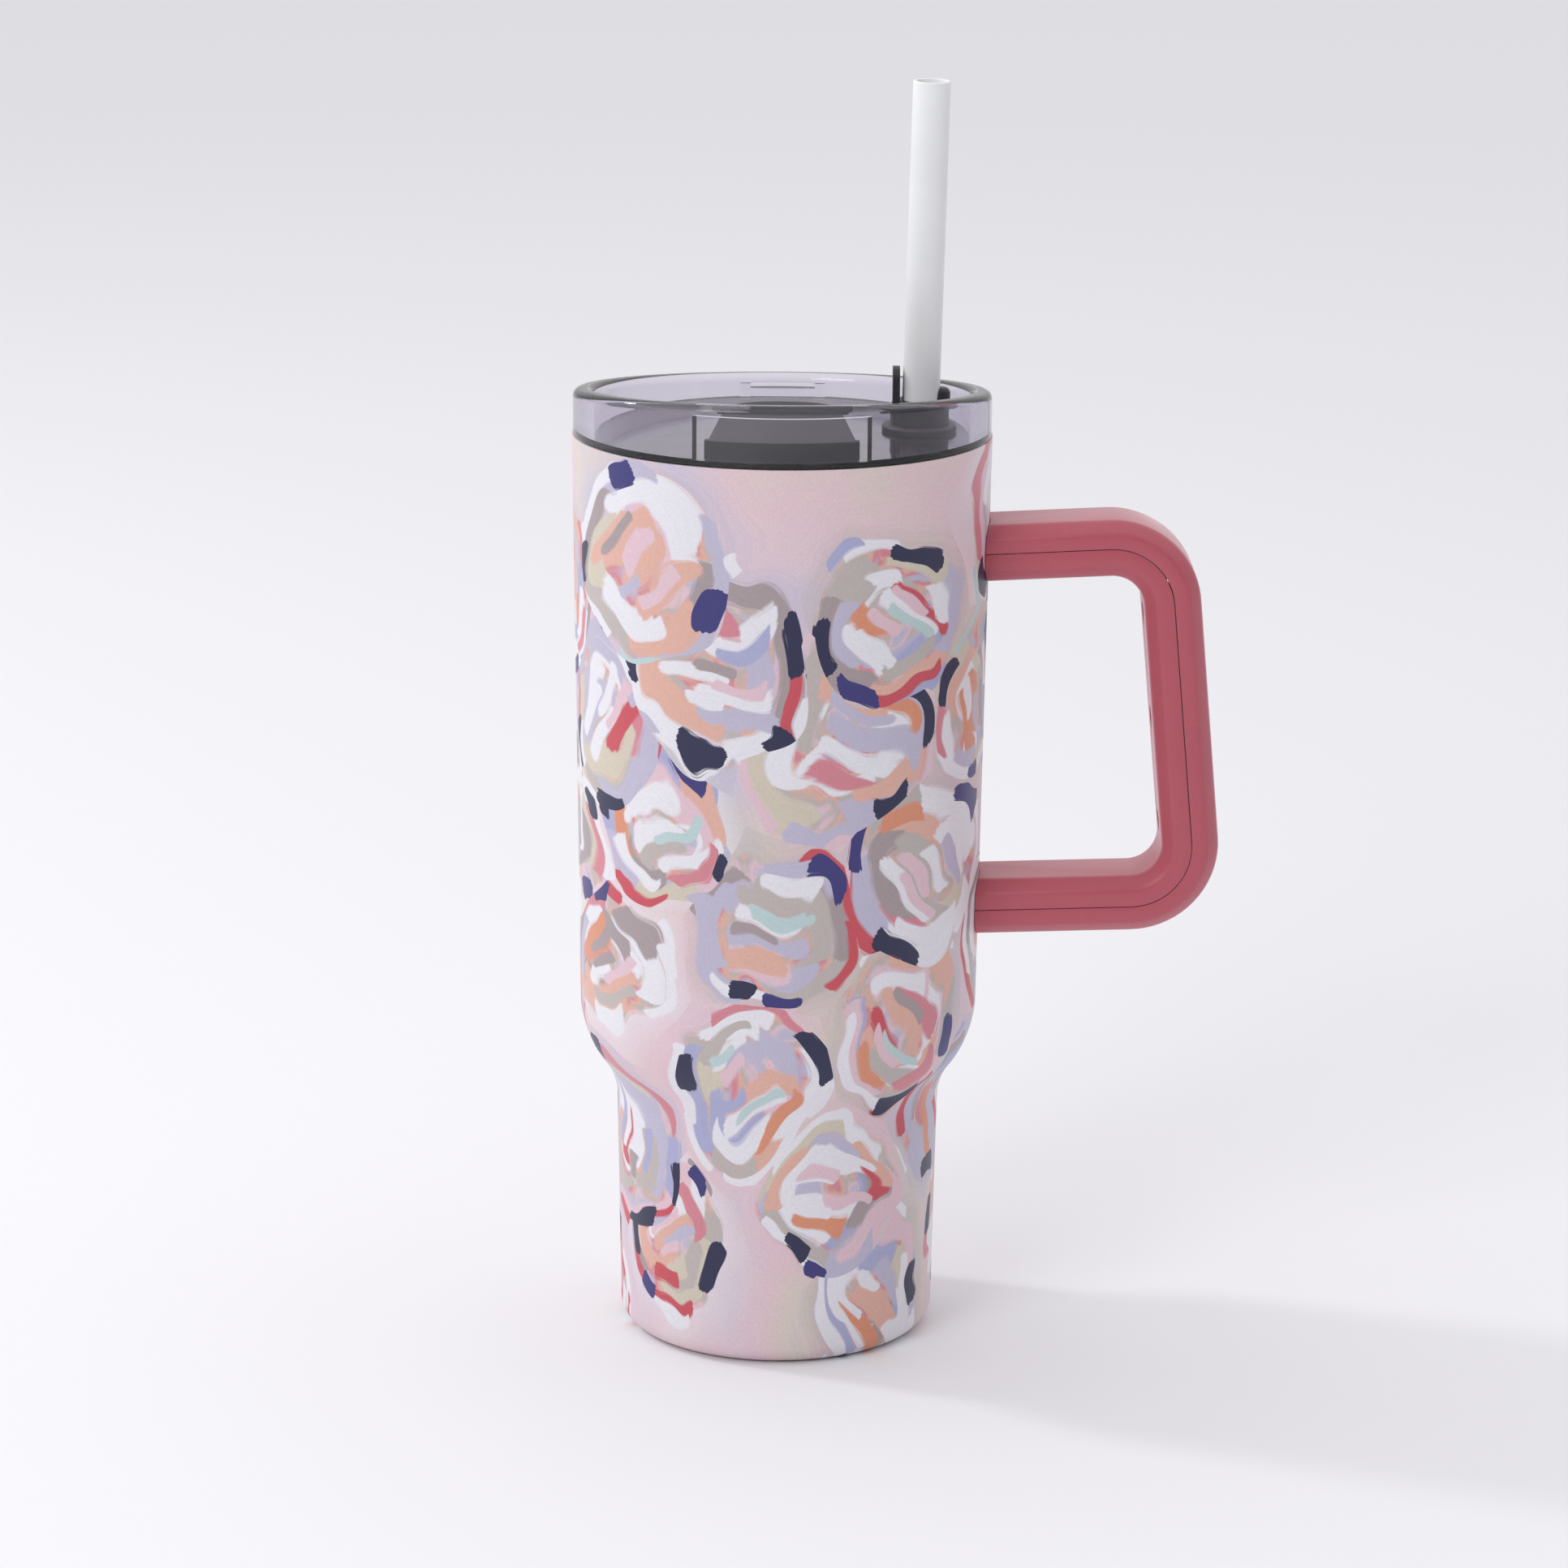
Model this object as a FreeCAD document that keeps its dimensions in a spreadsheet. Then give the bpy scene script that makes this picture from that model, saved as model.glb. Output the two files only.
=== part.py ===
"""Insulated tumbler with lid, handle and straw, in millimetres.

The origin is the centre of the foot, on the axis of the tumbler. +Z is up, the
handle is towards +X, and the drinking side of the lid is towards +Y.
"""

import FreeCAD, Part
import math
import os
import re

import Sketcher

DIMENSIONS = {
    # Outer wall of the tumbler
    "body_height": 225.0,
    "rim_radius": 50.7,
    "body_taper": 1.9,
    "foot_radius": 38.8,
    "foot_taper": 1.1,
    "shoulder_height": 64.0,
    "shoulder_angle": 36.5,
    "shoulder_round": 23.0,
    "waist_round": 16.0,
    "foot_round": 5.5,
    # Double wall
    "outer_wall": 0.6,
    "vacuum_gap": 3.2,
    "liner_wall": 0.5,
    "foil_wall": 0.3,
    "foil_gap": 0.15,
    "foil_margin": 12.0,
    "mouth_gap": 1.8,
    "mouth_depth": 18.0,
    "lip_height": 1.6,
    "lip_round": 0.7,
    "lip_clearance": 0.05,
    "liner_floor": 6.4,
    "liner_corner": 8.0,
    # Base
    "seat_width": 2.3,
    "base_margin": 0.1,
    "base_wall": 0.6,
    "cover_clearance": 0.3,
    "dimple_radius": 5.0,
    "dimple_depth": 1.8,
    "pump_hole_radius": 1.0,
    "bead_clearance": 0.1,
    "bead_round": 0.4,
    "getter_radius": 4.5,
    "getter_thickness": 1.5,
    "getter_margin": 6.5,
    # Handle: the seam between its two shells is the line they are drawn along
    "handle_drop": 28.0,
    "handle_span": 88.6,
    "top_arm_rise": 2.7,
    "bottom_arm_rise": 2.0,
    "top_arm_reach": 42.9,
    "bottom_arm_reach": 51.5,
    "handle_root": 10.7,
    "seam_round": 15.0,
    "handle_width": 23.0,
    "handle_outer_depth": 6.7,
    "handle_inner_depth": 7.2,
    "handle_wall": 2.4,
    "handle_chamfer": 3.0,
    "handle_clearance": 0.15,
    # Handle brackets and screws
    "bracket_width": 15.0,
    "bracket_clearance": 1.0,
    "bracket_wall": 1.6,
    "lug_width": 9.0,
    "lug_height": 5.0,
    "lug_length": 15.0,
    "bracket_screw_reach": 8.3,
    "bracket_screw_radius": 2.0,
    "bracket_screw_length": 8.0,
    "bracket_boss_radius": 5.4,
    "grip_screw_radius": 1.5,
    "grip_screw_spacing": 26.0,
    "grip_boss_radius": 3.8,
    "screw_head_ratio": 1.8,
    "screw_head_height": 1.8,
    "screw_clearance": 0.15,
    # Lid
    "lid_inset": 0.2,
    "lid_wall": 5.1,
    "lid_height": 10.4,
    "lid_rim_slant": 4.9,
    "lid_rim_round": 1.9,
    "lid_floor_rise": 0.8,
    "lid_floor_wall": 2.4,
    "plug_inset": 1.6,
    "plug_wall": 2.0,
    "plug_depth": 13.0,
    "gasket_flange": 0.3,
    "gasket_sleeve": 0.5,
    "gasket_fin": 1.2,
    "gasket_fin_pitch": 3.6,
    "gasket_length": 9.6,
    "gasket_inset": 0.6,
    "mouth_clearance": 0.06,
    "front_recess_half_width": 19.5,
    "recess_wall": 2.9,
    "recess_margin": 2.2,
    "spout_half_width": 8.0,
    "rib_width": 2.6,
    "rib_depth": 1.4,
    "sill_height": 2.0,
    # Sip opening and slider
    "sip_inset": 12.9,
    "sip_half_length": 6.5,
    "sip_half_width": 4.0,
    "sip_corner": 3.6,
    "slider_tip_margin": 9.5,
    "slider_tip_cover": 4.5,
    "slider_gap": 0.25,
    "slider_thickness": 2.8,
    "slider_front_clearance": 1.0,
    "slider_side_clearance": 1.2,
    "slider_tip_half_width": 13.5,
    "slider_tip_round": 12.5,
    "slider_edge_round": 0.6,
    "thumb_lip_height": 1.6,
    "thumb_lip_depth": 3.0,
    "stem_setback": 27.0,
    "stem_half_width": 2.7,
    "stem_half_length": 4.5,
    "slot_clearance": 0.4,
    "seal_side_lap": 1.5,
    "seal_end_lap": 2.0,
    "seal_thickness": 1.2,
    "seal_corner": 3.8,
    "seal_gap": 0.06,
    "retainer_half_width": 7.0,
    "retainer_half_length": 7.0,
    "retainer_thickness": 2.2,
    "retainer_gap": 0.3,
    # Straw and its grommet
    "straw_radius": 4.5,
    "straw_wall": 0.9,
    "straw_lip_round": 0.35,
    "straw_above_lid": 84.0,
    "straw_foot_clearance": 8.9,
    "straw_wall_clearance": 0.15,
    "straw_inset": 12.2,
    "straw_lean_front": 1.9,
    "straw_fit": 0.05,
    "grommet_wall": 2.7,
    "grommet_height": 7.2,
    "grommet_round": 1.8,
    "grommet_flange_width": 2.0,
    "grommet_flange": 1.6,
    "grommet_neck_wall": 1.9,
    "grommet_lower_height": 2.4,
    "grommet_barb": 0.8,
    "tab_height": 15.2,
    "tab_width": 7.0,
    "tab_thickness": 1.7,
    "tab_round": 3.1,
    "tab_clearance": 0.5,
    "lobe_radius": 2.6,
    "lobe_offset": 0.1,
    "lobe_height": 10.2,
    "lobe_round": 1.5,
}

# Places and sizes that follow from the driving dimensions.
DERIVED = {
    # Outer and inner wall
    "shoulder_radius": "rim_radius - body_taper",
    "waist_radius": "foot_radius + foot_taper",
    "shoulder_top": "shoulder_height + (shoulder_radius - waist_radius) / tan(shoulder_angle * 1deg)",
    "liner_outside": "outer_wall + vacuum_gap",
    "liner_inside": "liner_outside + liner_wall",
    "liner_floor_top": "liner_floor + liner_wall",
    "mouth_step": "body_height - mouth_depth",
    "mouth_radius": "rim_radius - outer_wall - mouth_gap - liner_wall",
    "base_seat_radius": "foot_radius - foot_round - seat_width",
    "base_top": "outer_wall + base_wall",
    # Handle, from the mouth down and from the rim outwards
    "seam_start": "rim_radius - handle_root",
    "seam_top": "body_height - handle_drop",
    "seam_top_corner": "seam_top + top_arm_rise",
    "seam_bottom": "seam_top - handle_span",
    "seam_bottom_corner": "seam_bottom + bottom_arm_rise",
    "seam_top_reach": "rim_radius + top_arm_reach",
    "seam_bottom_reach": "rim_radius + bottom_arm_reach",
    "grip_slope": "(seam_bottom_reach - seam_top_reach) / (seam_top_corner - seam_bottom_corner)",
    "grip_middle_reach": "(seam_top_reach + seam_bottom_reach) / 2",
    "grip_middle_height": "(seam_top_corner + seam_bottom_corner) / 2",
    "bracket_screw": "rim_radius + bracket_screw_reach",
    "bracket_height": "2 * (handle_inner_depth - handle_wall - bracket_clearance)",
    "upper_bracket_height": "seam_top + (bracket_screw - seam_start)"
    " * top_arm_rise / (seam_top_reach - seam_start)",
    "lower_bracket_height": "seam_bottom + (bracket_screw - seam_start)"
    " * bottom_arm_rise / (seam_bottom_reach - seam_start)",
    # Lid
    "lid_edge": "body_height + gasket_flange",
    "lid_radius": "rim_radius - lid_inset",
    "lid_rim_height": "lid_edge + lid_height",
    "lid_floor_top": "lid_edge + lid_floor_rise",
    "floor_bottom": "lid_floor_top - lid_floor_wall",
    "plug_radius": "mouth_radius - plug_inset",
    "well_radius": "lid_radius - lid_wall",
    "rim_slope": "tan(lid_rim_slant * 1deg)",
    "recess_radius": "lid_radius - recess_wall",
    "rib_face": "sqrt(well_radius^2 - spout_half_width^2) - rib_depth",
    "spout_top": "lid_rim_height - recess_radius * rim_slope - recess_margin",
    "front_recess_top": "lid_rim_height + well_radius * rim_slope - lid_rim_round - recess_margin / 2",
    # Slider: once it has gone its travel, its tip is past the sip opening
    "sip_centre": "well_radius - sip_inset",
    "slider_travel": "slider_tip_margin + 2 * sip_half_width + slider_tip_cover",
    "slider_tip": "sip_centre - sip_half_width - slider_tip_margin",
    "slider_front_radius": "recess_radius - slider_front_clearance",
    "slider_half_width": "front_recess_half_width - slider_side_clearance",
    "slider_under": "lid_floor_top + slider_gap",
    "slider_top": "slider_under + slider_thickness",
    "stem_centre": "slider_tip - stem_setback",
    "retainer_bottom": "floor_bottom - retainer_gap - retainer_thickness",
    "seal_centre": "sip_centre - slider_travel",
    "seal_half_width": "sip_half_length + seal_side_lap",
    "seal_half_length": "sip_half_width + seal_end_lap",
    # Straw: it leans from its grommet until it is near the liner's wall at the foot or the waist
    "straw_reach": "well_radius - straw_inset",
    "straw_foot": "liner_floor_top + straw_foot_clearance",
    "straw_drop": "lid_floor_top - straw_foot",
    "straw_foot_front": "straw_drop * tan(straw_lean_front * 1deg)",
    "straw_margin": "liner_inside + straw_radius + straw_wall_clearance",
    "straw_at_waist": "(shoulder_height - straw_foot) / straw_drop",
    "straw_foot_room": "sqrt((foot_radius - straw_margin)^2 - straw_foot_front^2)",
    "straw_waist_room": "sqrt((waist_radius - straw_margin)^2"
    " - (straw_foot_front * (1 - straw_at_waist))^2)",
    "straw_foot_reach": "min(straw_foot_room; (straw_waist_room"
    " - straw_reach * straw_at_waist) / (1 - straw_at_waist))",
    "straw_below_lid": "sqrt(straw_drop^2 + straw_foot_front^2 + (straw_reach - straw_foot_reach)^2)",
    "grommet_radius": "straw_radius + grommet_wall",
    "grommet_flange_radius": "grommet_radius + grommet_flange_width",
    "grommet_neck_radius": "straw_radius + grommet_neck_wall",
    "lobe_reach": "straw_radius + lobe_offset",
}

doc = FreeCAD.newDocument("tumbler")
sheet = doc.addObject("Spreadsheet::Sheet", "Size")


def fill_sheet():
    """Write every driving dimension into the sheet as a number with an alias."""
    for row, (alias, number) in enumerate(DIMENSIONS.items(), start=1):
        sheet.set(f"A{row}", alias.replace("_", " "))
        sheet.set(f"B{row}", str(number))
        sheet.setAlias(f"B{row}", alias)
    doc.recompute()


def bound(text):
    """Turn a formula in plain names into an expression on the sheet's cells."""

    def expand(match):
        word = match.group()
        if word in DERIVED:
            return f"({bound(DERIVED[word])})"
        return f"Size.{word}" if word in DIMENSIONS else word

    return re.sub(r"[A-Za-z_][A-Za-z_0-9]*", expand, text)


def value(text):
    """The number a formula gives with the sheet as it stands."""
    return float(sheet.evalExpression(bound(text)))


def bind(item, **formulas):
    """Tie properties of an object to formulas on the sheet."""
    for name, text in formulas.items():
        item.setExpression(name, bound(text))


def place(item, x="0", y="0", z="0"):
    """Tie an object's position to formulas on the sheet."""
    for axis, text in (("x", x), ("y", y), ("z", z)):
        item.setExpression(f".Placement.Base.{axis}", bound(text))


def origin_plane(body, role):
    """One of a body's own origin planes, such as XZ_Plane."""
    return next(item for item in body.Origin.OriginFeatures if item.Role == role)


def new_body(label):
    """A PartDesign body for one sub-part."""
    body = doc.addObject("PartDesign::Body", label)
    body.Label = label
    return body


def new_sketch(body, name, role, offset=None):
    """A sketch on one of the body's planes, moved along its normal by a formula."""
    sketch = body.newObject("Sketcher::SketchObject", name)
    sketch.AttachmentSupport = [(origin_plane(body, role), "")]
    sketch.MapMode = "FlatFace"
    if offset is not None:
        sketch.setExpression(".AttachmentOffset.Base.z", bound(offset))
    return sketch


def constrain(sketch, kind, *refs, formula=None):
    """Add a constraint, and tie its size to a formula where it has one."""
    if formula is None:
        sketch.addConstraint(Sketcher.Constraint(kind, *refs))
        return
    index = sketch.addConstraint(Sketcher.Constraint(kind, *refs, value(formula)))
    sketch.setExpression(f"Constraints[{index}]", bound(formula))


def pin(sketch, geometry, end, x, y):
    """Place a point of the sketch at the formulas x and y."""
    for kind, axis, formula in (("DistanceX", -2, x), ("DistanceY", -1, y)):
        if formula == "0":
            constrain(sketch, "PointOnObject", geometry, end, axis)
        elif value(formula) < 0:
            constrain(sketch, kind, geometry, end, -1, 1, formula=f"-({formula})")
        else:
            constrain(sketch, kind, -1, 1, geometry, end, formula=formula)


def corner_arc(before, corner, after, radius):
    """The start, end, centre and turning sense of the arc that rounds a corner."""
    back = (before - corner).normalize()
    ahead = (after - corner).normalize()
    half_turn = back.getAngle(ahead) / 2
    reach = radius / math.tan(half_turn)
    centre = corner + (back + ahead).normalize() * (radius / math.sin(half_turn))
    left_turn = ahead.cross(back).z > 0
    return corner + back * reach, corner + ahead * reach, centre, left_turn


def draw_outline(sketch, corners, closed=True):
    """Draw straight lines through corners (x, y) or (x, y, round), all formulas."""
    points = [FreeCAD.Vector(value(c[0]), value(c[1]), 0) for c in corners]
    count = len(points)
    arcs = {}
    for i, corner in enumerate(corners):
        if len(corner) == 3:
            arcs[i] = corner_arc(points[i - 1], points[i], points[(i + 1) % count], value(corner[2]))
    lines = []
    for i in range(count if closed else count - 1):
        j = (i + 1) % count
        start = arcs[i][1] if i in arcs else points[i]
        end = arcs[j][0] if j in arcs else points[j]
        lines.append(sketch.addGeometry(Part.LineSegment(start, end), False))
    for i, corner in enumerate(corners):
        before = lines[i - 1] if closed or i else None
        after = lines[i] if i < len(lines) else None
        if i in arcs:
            start, end, centre, left_turn = arcs[i]
            first, last = (1, 2) if left_turn else (2, 1)
            ends = (start, end) if left_turn else (end, start)
            angles = [math.atan2(p.y - centre.y, p.x - centre.x) for p in ends]
            circle = Part.Circle(centre, FreeCAD.Vector(0, 0, 1), value(corner[2]))
            arc = sketch.addGeometry(Part.ArcOfCircle(circle, *angles), False)
            constrain(sketch, "Tangent", before, 2, arc, first)
            constrain(sketch, "Tangent", arc, last, after, 1)
            constrain(sketch, "Radius", arc, formula=corner[2])
            mark = sketch.addGeometry(Part.Point(points[i]), True)
            pin(sketch, mark, 1, corner[0], corner[1])
            constrain(sketch, "PointOnObject", mark, 1, before)
            constrain(sketch, "PointOnObject", mark, 1, after)
        elif before is None:
            pin(sketch, after, 1, corner[0], corner[1])
        else:
            pin(sketch, before, 2, corner[0], corner[1])
            if after is not None:
                constrain(sketch, "Coincident", before, 2, after, 1)


def draw_circle(sketch, x, y, radius):
    """Draw a circle whose centre and radius are formulas."""
    centre = FreeCAD.Vector(value(x), value(y), 0)
    circle = sketch.addGeometry(Part.Circle(centre, FreeCAD.Vector(0, 0, 1), value(radius)), False)
    pin(sketch, circle, 3, x, y)
    constrain(sketch, "Radius", circle, formula=radius)


def turn(body, name, corners, cut=False):
    """Revolve an outline of (radius, height) corners about the body's axis."""
    sketch = new_sketch(body, f"{name}_profile", "XZ_Plane")
    draw_outline(sketch, corners)
    feature = body.newObject("PartDesign::Groove" if cut else "PartDesign::Revolution", name)
    feature.Profile = sketch
    feature.ReferenceAxis = (sketch, ["V_Axis"])
    feature.Angle = 360
    doc.recompute()
    return feature


def extrude(body, name, role, shapes, length, offset=None, cut=False, both_ways=False, reverse=False):
    """Pad or pocket shapes drawn on one of the body's planes by a length."""
    sketch = new_sketch(body, f"{name}_shape", role, offset)
    for shape in shapes:
        if isinstance(shape, tuple):
            draw_circle(sketch, *shape)
        else:
            draw_outline(sketch, shape)
    solid_before = body.Shape.Volume if not body.Shape.isNull() else 0
    feature = body.newObject("PartDesign::Pocket" if cut else "PartDesign::Pad", name)
    feature.Profile = sketch
    feature.Midplane = both_ways
    feature.Reversed = reverse
    bind(feature, Length=length)
    doc.recompute()
    if cut and not feature.Shape.Volume < solid_before - 1e-3:
        raise ValueError(f"{name} cuts nothing")
    return feature


def dress(body, kind, name, near, size):
    """Fillet or chamfer the edges of the body that a test picks out."""
    base = body.Tip
    edges = [f"Edge{i}" for i, edge in enumerate(base.Shape.Edges, start=1) if near(edge)]
    if not edges:
        raise ValueError(f"{name} finds no edge")
    feature = body.newObject(f"PartDesign::{kind}", name)
    feature.Base = (base, edges)
    bind(feature, **{"Radius" if kind == "Fillet" else "Size": size})
    doc.recompute()
    return feature


def box_outline(x0, x1, y0, y1, *rounds):
    """The four corners of a rectangle, each rounded if a radius is given."""
    return [(x, y, *rounds) for x, y in ((x0, y0), (x1, y0), (x1, y1), (x0, y1))]


def wall_points(inset, foot, foot_round, rim):
    """Corners up the wall from the foot to the rim, moved inwards by inset."""
    rise = f"({inset}) * tan(shoulder_angle * 1deg / 2)"
    foot_corner = (f"foot_radius - ({inset})", foot)
    return [
        (*foot_corner, foot_round) if foot_round else foot_corner,
        (f"waist_radius - ({inset})", f"shoulder_height + {rise}", f"waist_round + {inset}"),
        (f"shoulder_radius - ({inset})", f"shoulder_top + {rise}", f"shoulder_round - ({inset})"),
        (f"rim_radius - ({inset})", rim),
    ]


def make_outer_shell():
    """Painted outer wall, turned in at the foot to a flat seat."""
    body = new_body("outer_shell")
    outside = wall_points("0", "0", "foot_round", "body_height")
    inside = wall_points("outer_wall", "outer_wall", "foot_round - outer_wall", "body_height")
    seat = [("base_seat_radius", "0")]
    turn(body, "wall", seat + outside + inside[::-1] + [("base_seat_radius", "outer_wall")])
    return body


def make_inner_liner():
    """Inner wall, with a wider mouth for the lid and a lip that meets the outer wall."""
    body = new_body("inner_liner")
    outside = wall_points("liner_outside", "liner_floor", "liner_corner", "mouth_step")
    inside = wall_points(
        "liner_inside", "liner_floor_top", "liner_corner - liner_wall", "mouth_step"
    )
    flare = "mouth_step + mouth_radius - rim_radius"
    turn(
        body,
        "wall",
        [("0", "liner_floor")]
        + outside
        + [
            ("mouth_radius + liner_wall", f"{flare} + liner_wall + liner_outside"),
            ("mouth_radius + liner_wall", "body_height - lip_height"),
            ("rim_radius - outer_wall - lip_clearance", "body_height - lip_height"),
            ("rim_radius - outer_wall - lip_clearance", "body_height"),
            ("mouth_radius", "body_height", "lip_round"),
            ("mouth_radius", f"{flare} + liner_inside"),
        ]
        + inside[::-1]
        + [("0", "liner_floor_top")],
    )
    return body


def make_copper_foil():
    """Heat-reflecting wrap round the liner, from above its corner to below its mouth."""
    body = new_body("copper_foil")
    faces = [
        wall_points(inset, "liner_floor", None, "mouth_step")
        for inset in ("liner_outside - foil_gap - foil_wall", "liner_outside - foil_gap")
    ]
    turn(body, "wrap", faces[0] + faces[1][::-1])
    low, high = "liner_floor + foil_margin", "mouth_step - foil_margin"
    turn(body, "foot_trim", box_outline("0", "rim_radius", "0", low), cut=True)
    turn(body, "mouth_trim", box_outline("0", "rim_radius", high, "body_height"), cut=True)
    return body


def make_outer_base():
    """Steel disc welded on the seat, with a dimple and pump-out hole at its centre."""
    body = new_body("outer_base")
    edge = "foot_radius - foot_round - base_margin"
    turn(
        body,
        "disc",
        [
            ("pump_hole_radius", "outer_wall + dimple_depth"),
            ("dimple_radius", "outer_wall + dimple_depth"),
            ("dimple_radius", "outer_wall"),
            (edge, "outer_wall"),
            (edge, "base_top"),
            ("dimple_radius + base_wall", "base_top"),
            ("dimple_radius + base_wall", "base_top + dimple_depth"),
            ("pump_hole_radius", "base_top + dimple_depth"),
        ],
    )
    return body


def make_vacuum_seal():
    """Bead that fills the dimple and plugs the pump-out hole."""
    body = new_body("vacuum_seal")
    top = "outer_wall + dimple_depth"
    turn(
        body,
        "bead",
        [
            ("0", "outer_wall + bead_clearance"),
            ("dimple_radius - bead_clearance", "outer_wall + bead_clearance", "bead_round"),
            ("dimple_radius - bead_clearance", top),
            ("pump_hole_radius", top),
            ("pump_hole_radius", f"{top} + base_wall"),
            ("0", f"{top} + base_wall"),
        ],
    )
    return body


def make_getter():
    """Pellet fixed on the vacuum side of the base disc."""
    body = new_body("getter")
    centre = "-(dimple_radius + getter_radius + getter_margin)"
    pellet = [(centre, "0", "getter_radius")]
    extrude(body, "pellet", "XY_Plane", pellet, "getter_thickness", "base_top")
    return body


def make_base_cover():
    """Thin disc that fills the seat ring and hides the bead."""
    body = new_body("base_cover")
    turn(
        body,
        "disc",
        [
            ("0", "0"),
            ("base_seat_radius - cover_clearance", "0"),
            ("base_seat_radius - cover_clearance", "outer_wall"),
            ("0", "outer_wall"),
        ],
    )
    return body


# The handle follows one path: its seam, in the plane through the axis.
SEAM = [
    ("seam_start", "seam_top"),
    ("seam_top_reach", "seam_top_corner", "seam_round"),
    ("seam_bottom_reach", "seam_bottom_corner", "seam_round"),
    ("seam_start", "seam_bottom"),
]

# Each bracket's height at its screw, and the depth of the shell that is under it there.
BRACKETS = {
    "upper": ("upper_bracket_height", "handle_inner_depth"),
    "lower": ("lower_bracket_height", "handle_outer_depth"),
}

# How far a screw's head is sunk, with room to spare.
SINK = "screw_head_height + 3 * screw_clearance"


def grip_screw_places():
    """The (x, z) formulas where each grip screw crosses the seam."""
    for step in ("-1", "0", "1"):
        drop = f"({step}) * grip_screw_spacing"
        yield f"(grip_middle_reach + {drop} * grip_slope)", f"(grip_middle_height - {drop})"


def handle_section(depth):
    """Half of the handle's hollow section, open at the seam, in (width, height)."""
    outer = [
        ("-handle_width / 2", "0"),
        ("-handle_width / 2", f"{depth} - handle_chamfer"),
        ("handle_chamfer - handle_width / 2", depth),
        ("handle_width / 2 - handle_chamfer", depth),
        ("handle_width / 2", f"{depth} - handle_chamfer"),
        ("handle_width / 2", "0"),
    ]
    inner = [
        ("handle_width / 2 - handle_wall", "0"),
        ("handle_width / 2 - handle_wall", f"{depth} - handle_chamfer"),
        ("handle_width / 2 - handle_chamfer", f"{depth} - handle_wall"),
        ("handle_chamfer - handle_width / 2", f"{depth} - handle_wall"),
        ("handle_wall - handle_width / 2", f"{depth} - handle_chamfer"),
        ("handle_wall - handle_width / 2", "0"),
    ]
    return outer + inner


def add_bracket_screw_seat(body, name):
    """A boss and a sunk hole in the underside of an arm, for its bracket's screw."""
    z, depth = BRACKETS[name]
    face = f"{z} - {depth}"
    boss = [("bracket_screw", "0", "bracket_boss_radius")]
    head = [("bracket_screw", "0", "bracket_screw_radius * screw_head_ratio + screw_clearance")]
    hole = [("bracket_screw", "0", "bracket_screw_radius + screw_clearance")]
    extrude(body, "bracket_boss", "XY_Plane", boss, f"{depth} - lug_height / 2 - handle_wall / 2",
            f"{face} + handle_wall / 2")
    extrude(body, "bracket_sink", "XY_Plane", head, f"2 * ({SINK})", face, True, both_ways=True)
    extrude(body, "bracket_hole", "XY_Plane", hole, f"2 * {depth}", face, True, both_ways=True)


def make_handle_channel(label, depth, side):
    """One half of the handle: its section swept along the seam and cut to the wall."""
    body = new_body(label)
    section = new_sketch(body, "section", "YZ_Plane", offset="seam_start")
    draw_outline(section, [(x, f"seam_top + ({side}) * ({z})") for x, z in handle_section(depth)])
    path = new_sketch(body, "seam", "XZ_Plane")
    draw_outline(path, SEAM, closed=False)
    doc.recompute()
    sweep = body.newObject("PartDesign::AdditivePipe", "channel")
    sweep.Profile = section
    sweep.Spine = (path, [f"Edge{i}" for i in range(1, len(path.Shape.Edges) + 1)])
    sweep.Mode = "Frenet"
    sweep.Transition = "Transformed"
    doc.recompute()
    clear_of_wall = [
        ("0", "shoulder_height"),
        ("shoulder_radius + handle_clearance", "shoulder_height"),
        ("shoulder_radius + handle_clearance", "shoulder_top"),
        ("rim_radius + handle_clearance", "body_height"),
        ("0", "body_height"),
    ]
    turn(body, "wall_cut", clear_of_wall, cut=True)
    return body


def make_handle_outer_shell():
    """Outer half of the handle, with bosses for the grip screws and the lower bracket's screw."""
    body = make_handle_channel("handle_outer_shell", "handle_outer_depth", 1)
    for x, z in grip_screw_places():
        boss = [("0", z, "grip_boss_radius")]
        hole = [("0", z, "grip_screw_radius")]
        extrude(body, "grip_boss", "YZ_Plane", boss, "handle_outer_depth - handle_wall / 2", x)
        extrude(body, "grip_hole", "YZ_Plane", hole, "handle_outer_depth - handle_wall", x, True,
                reverse=True)
    add_bracket_screw_seat(body, "lower")
    return body


def make_handle_inner_shell():
    """Inner half of the handle, with sunk holes for the grip screws and the upper bracket's."""
    body = make_handle_channel("handle_inner_shell", "handle_inner_depth", -1)
    for x, z in grip_screw_places():
        face = f"{x} - handle_inner_depth"
        boss = [("0", z, "grip_boss_radius")]
        head = [("0", z, "grip_screw_radius * screw_head_ratio + screw_clearance")]
        hole = [("0", z, "grip_screw_radius + screw_clearance")]
        extrude(body, "grip_boss", "YZ_Plane", boss, "handle_inner_depth - handle_wall / 2",
                f"{face} + handle_wall / 2")
        extrude(body, "grip_sink", "YZ_Plane", head, f"2 * ({SINK})", face, True, both_ways=True)
        extrude(body, "grip_hole", "YZ_Plane", hole, "3 * handle_inner_depth", face, True,
                both_ways=True)
    add_bracket_screw_seat(body, "upper")
    return body


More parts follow.
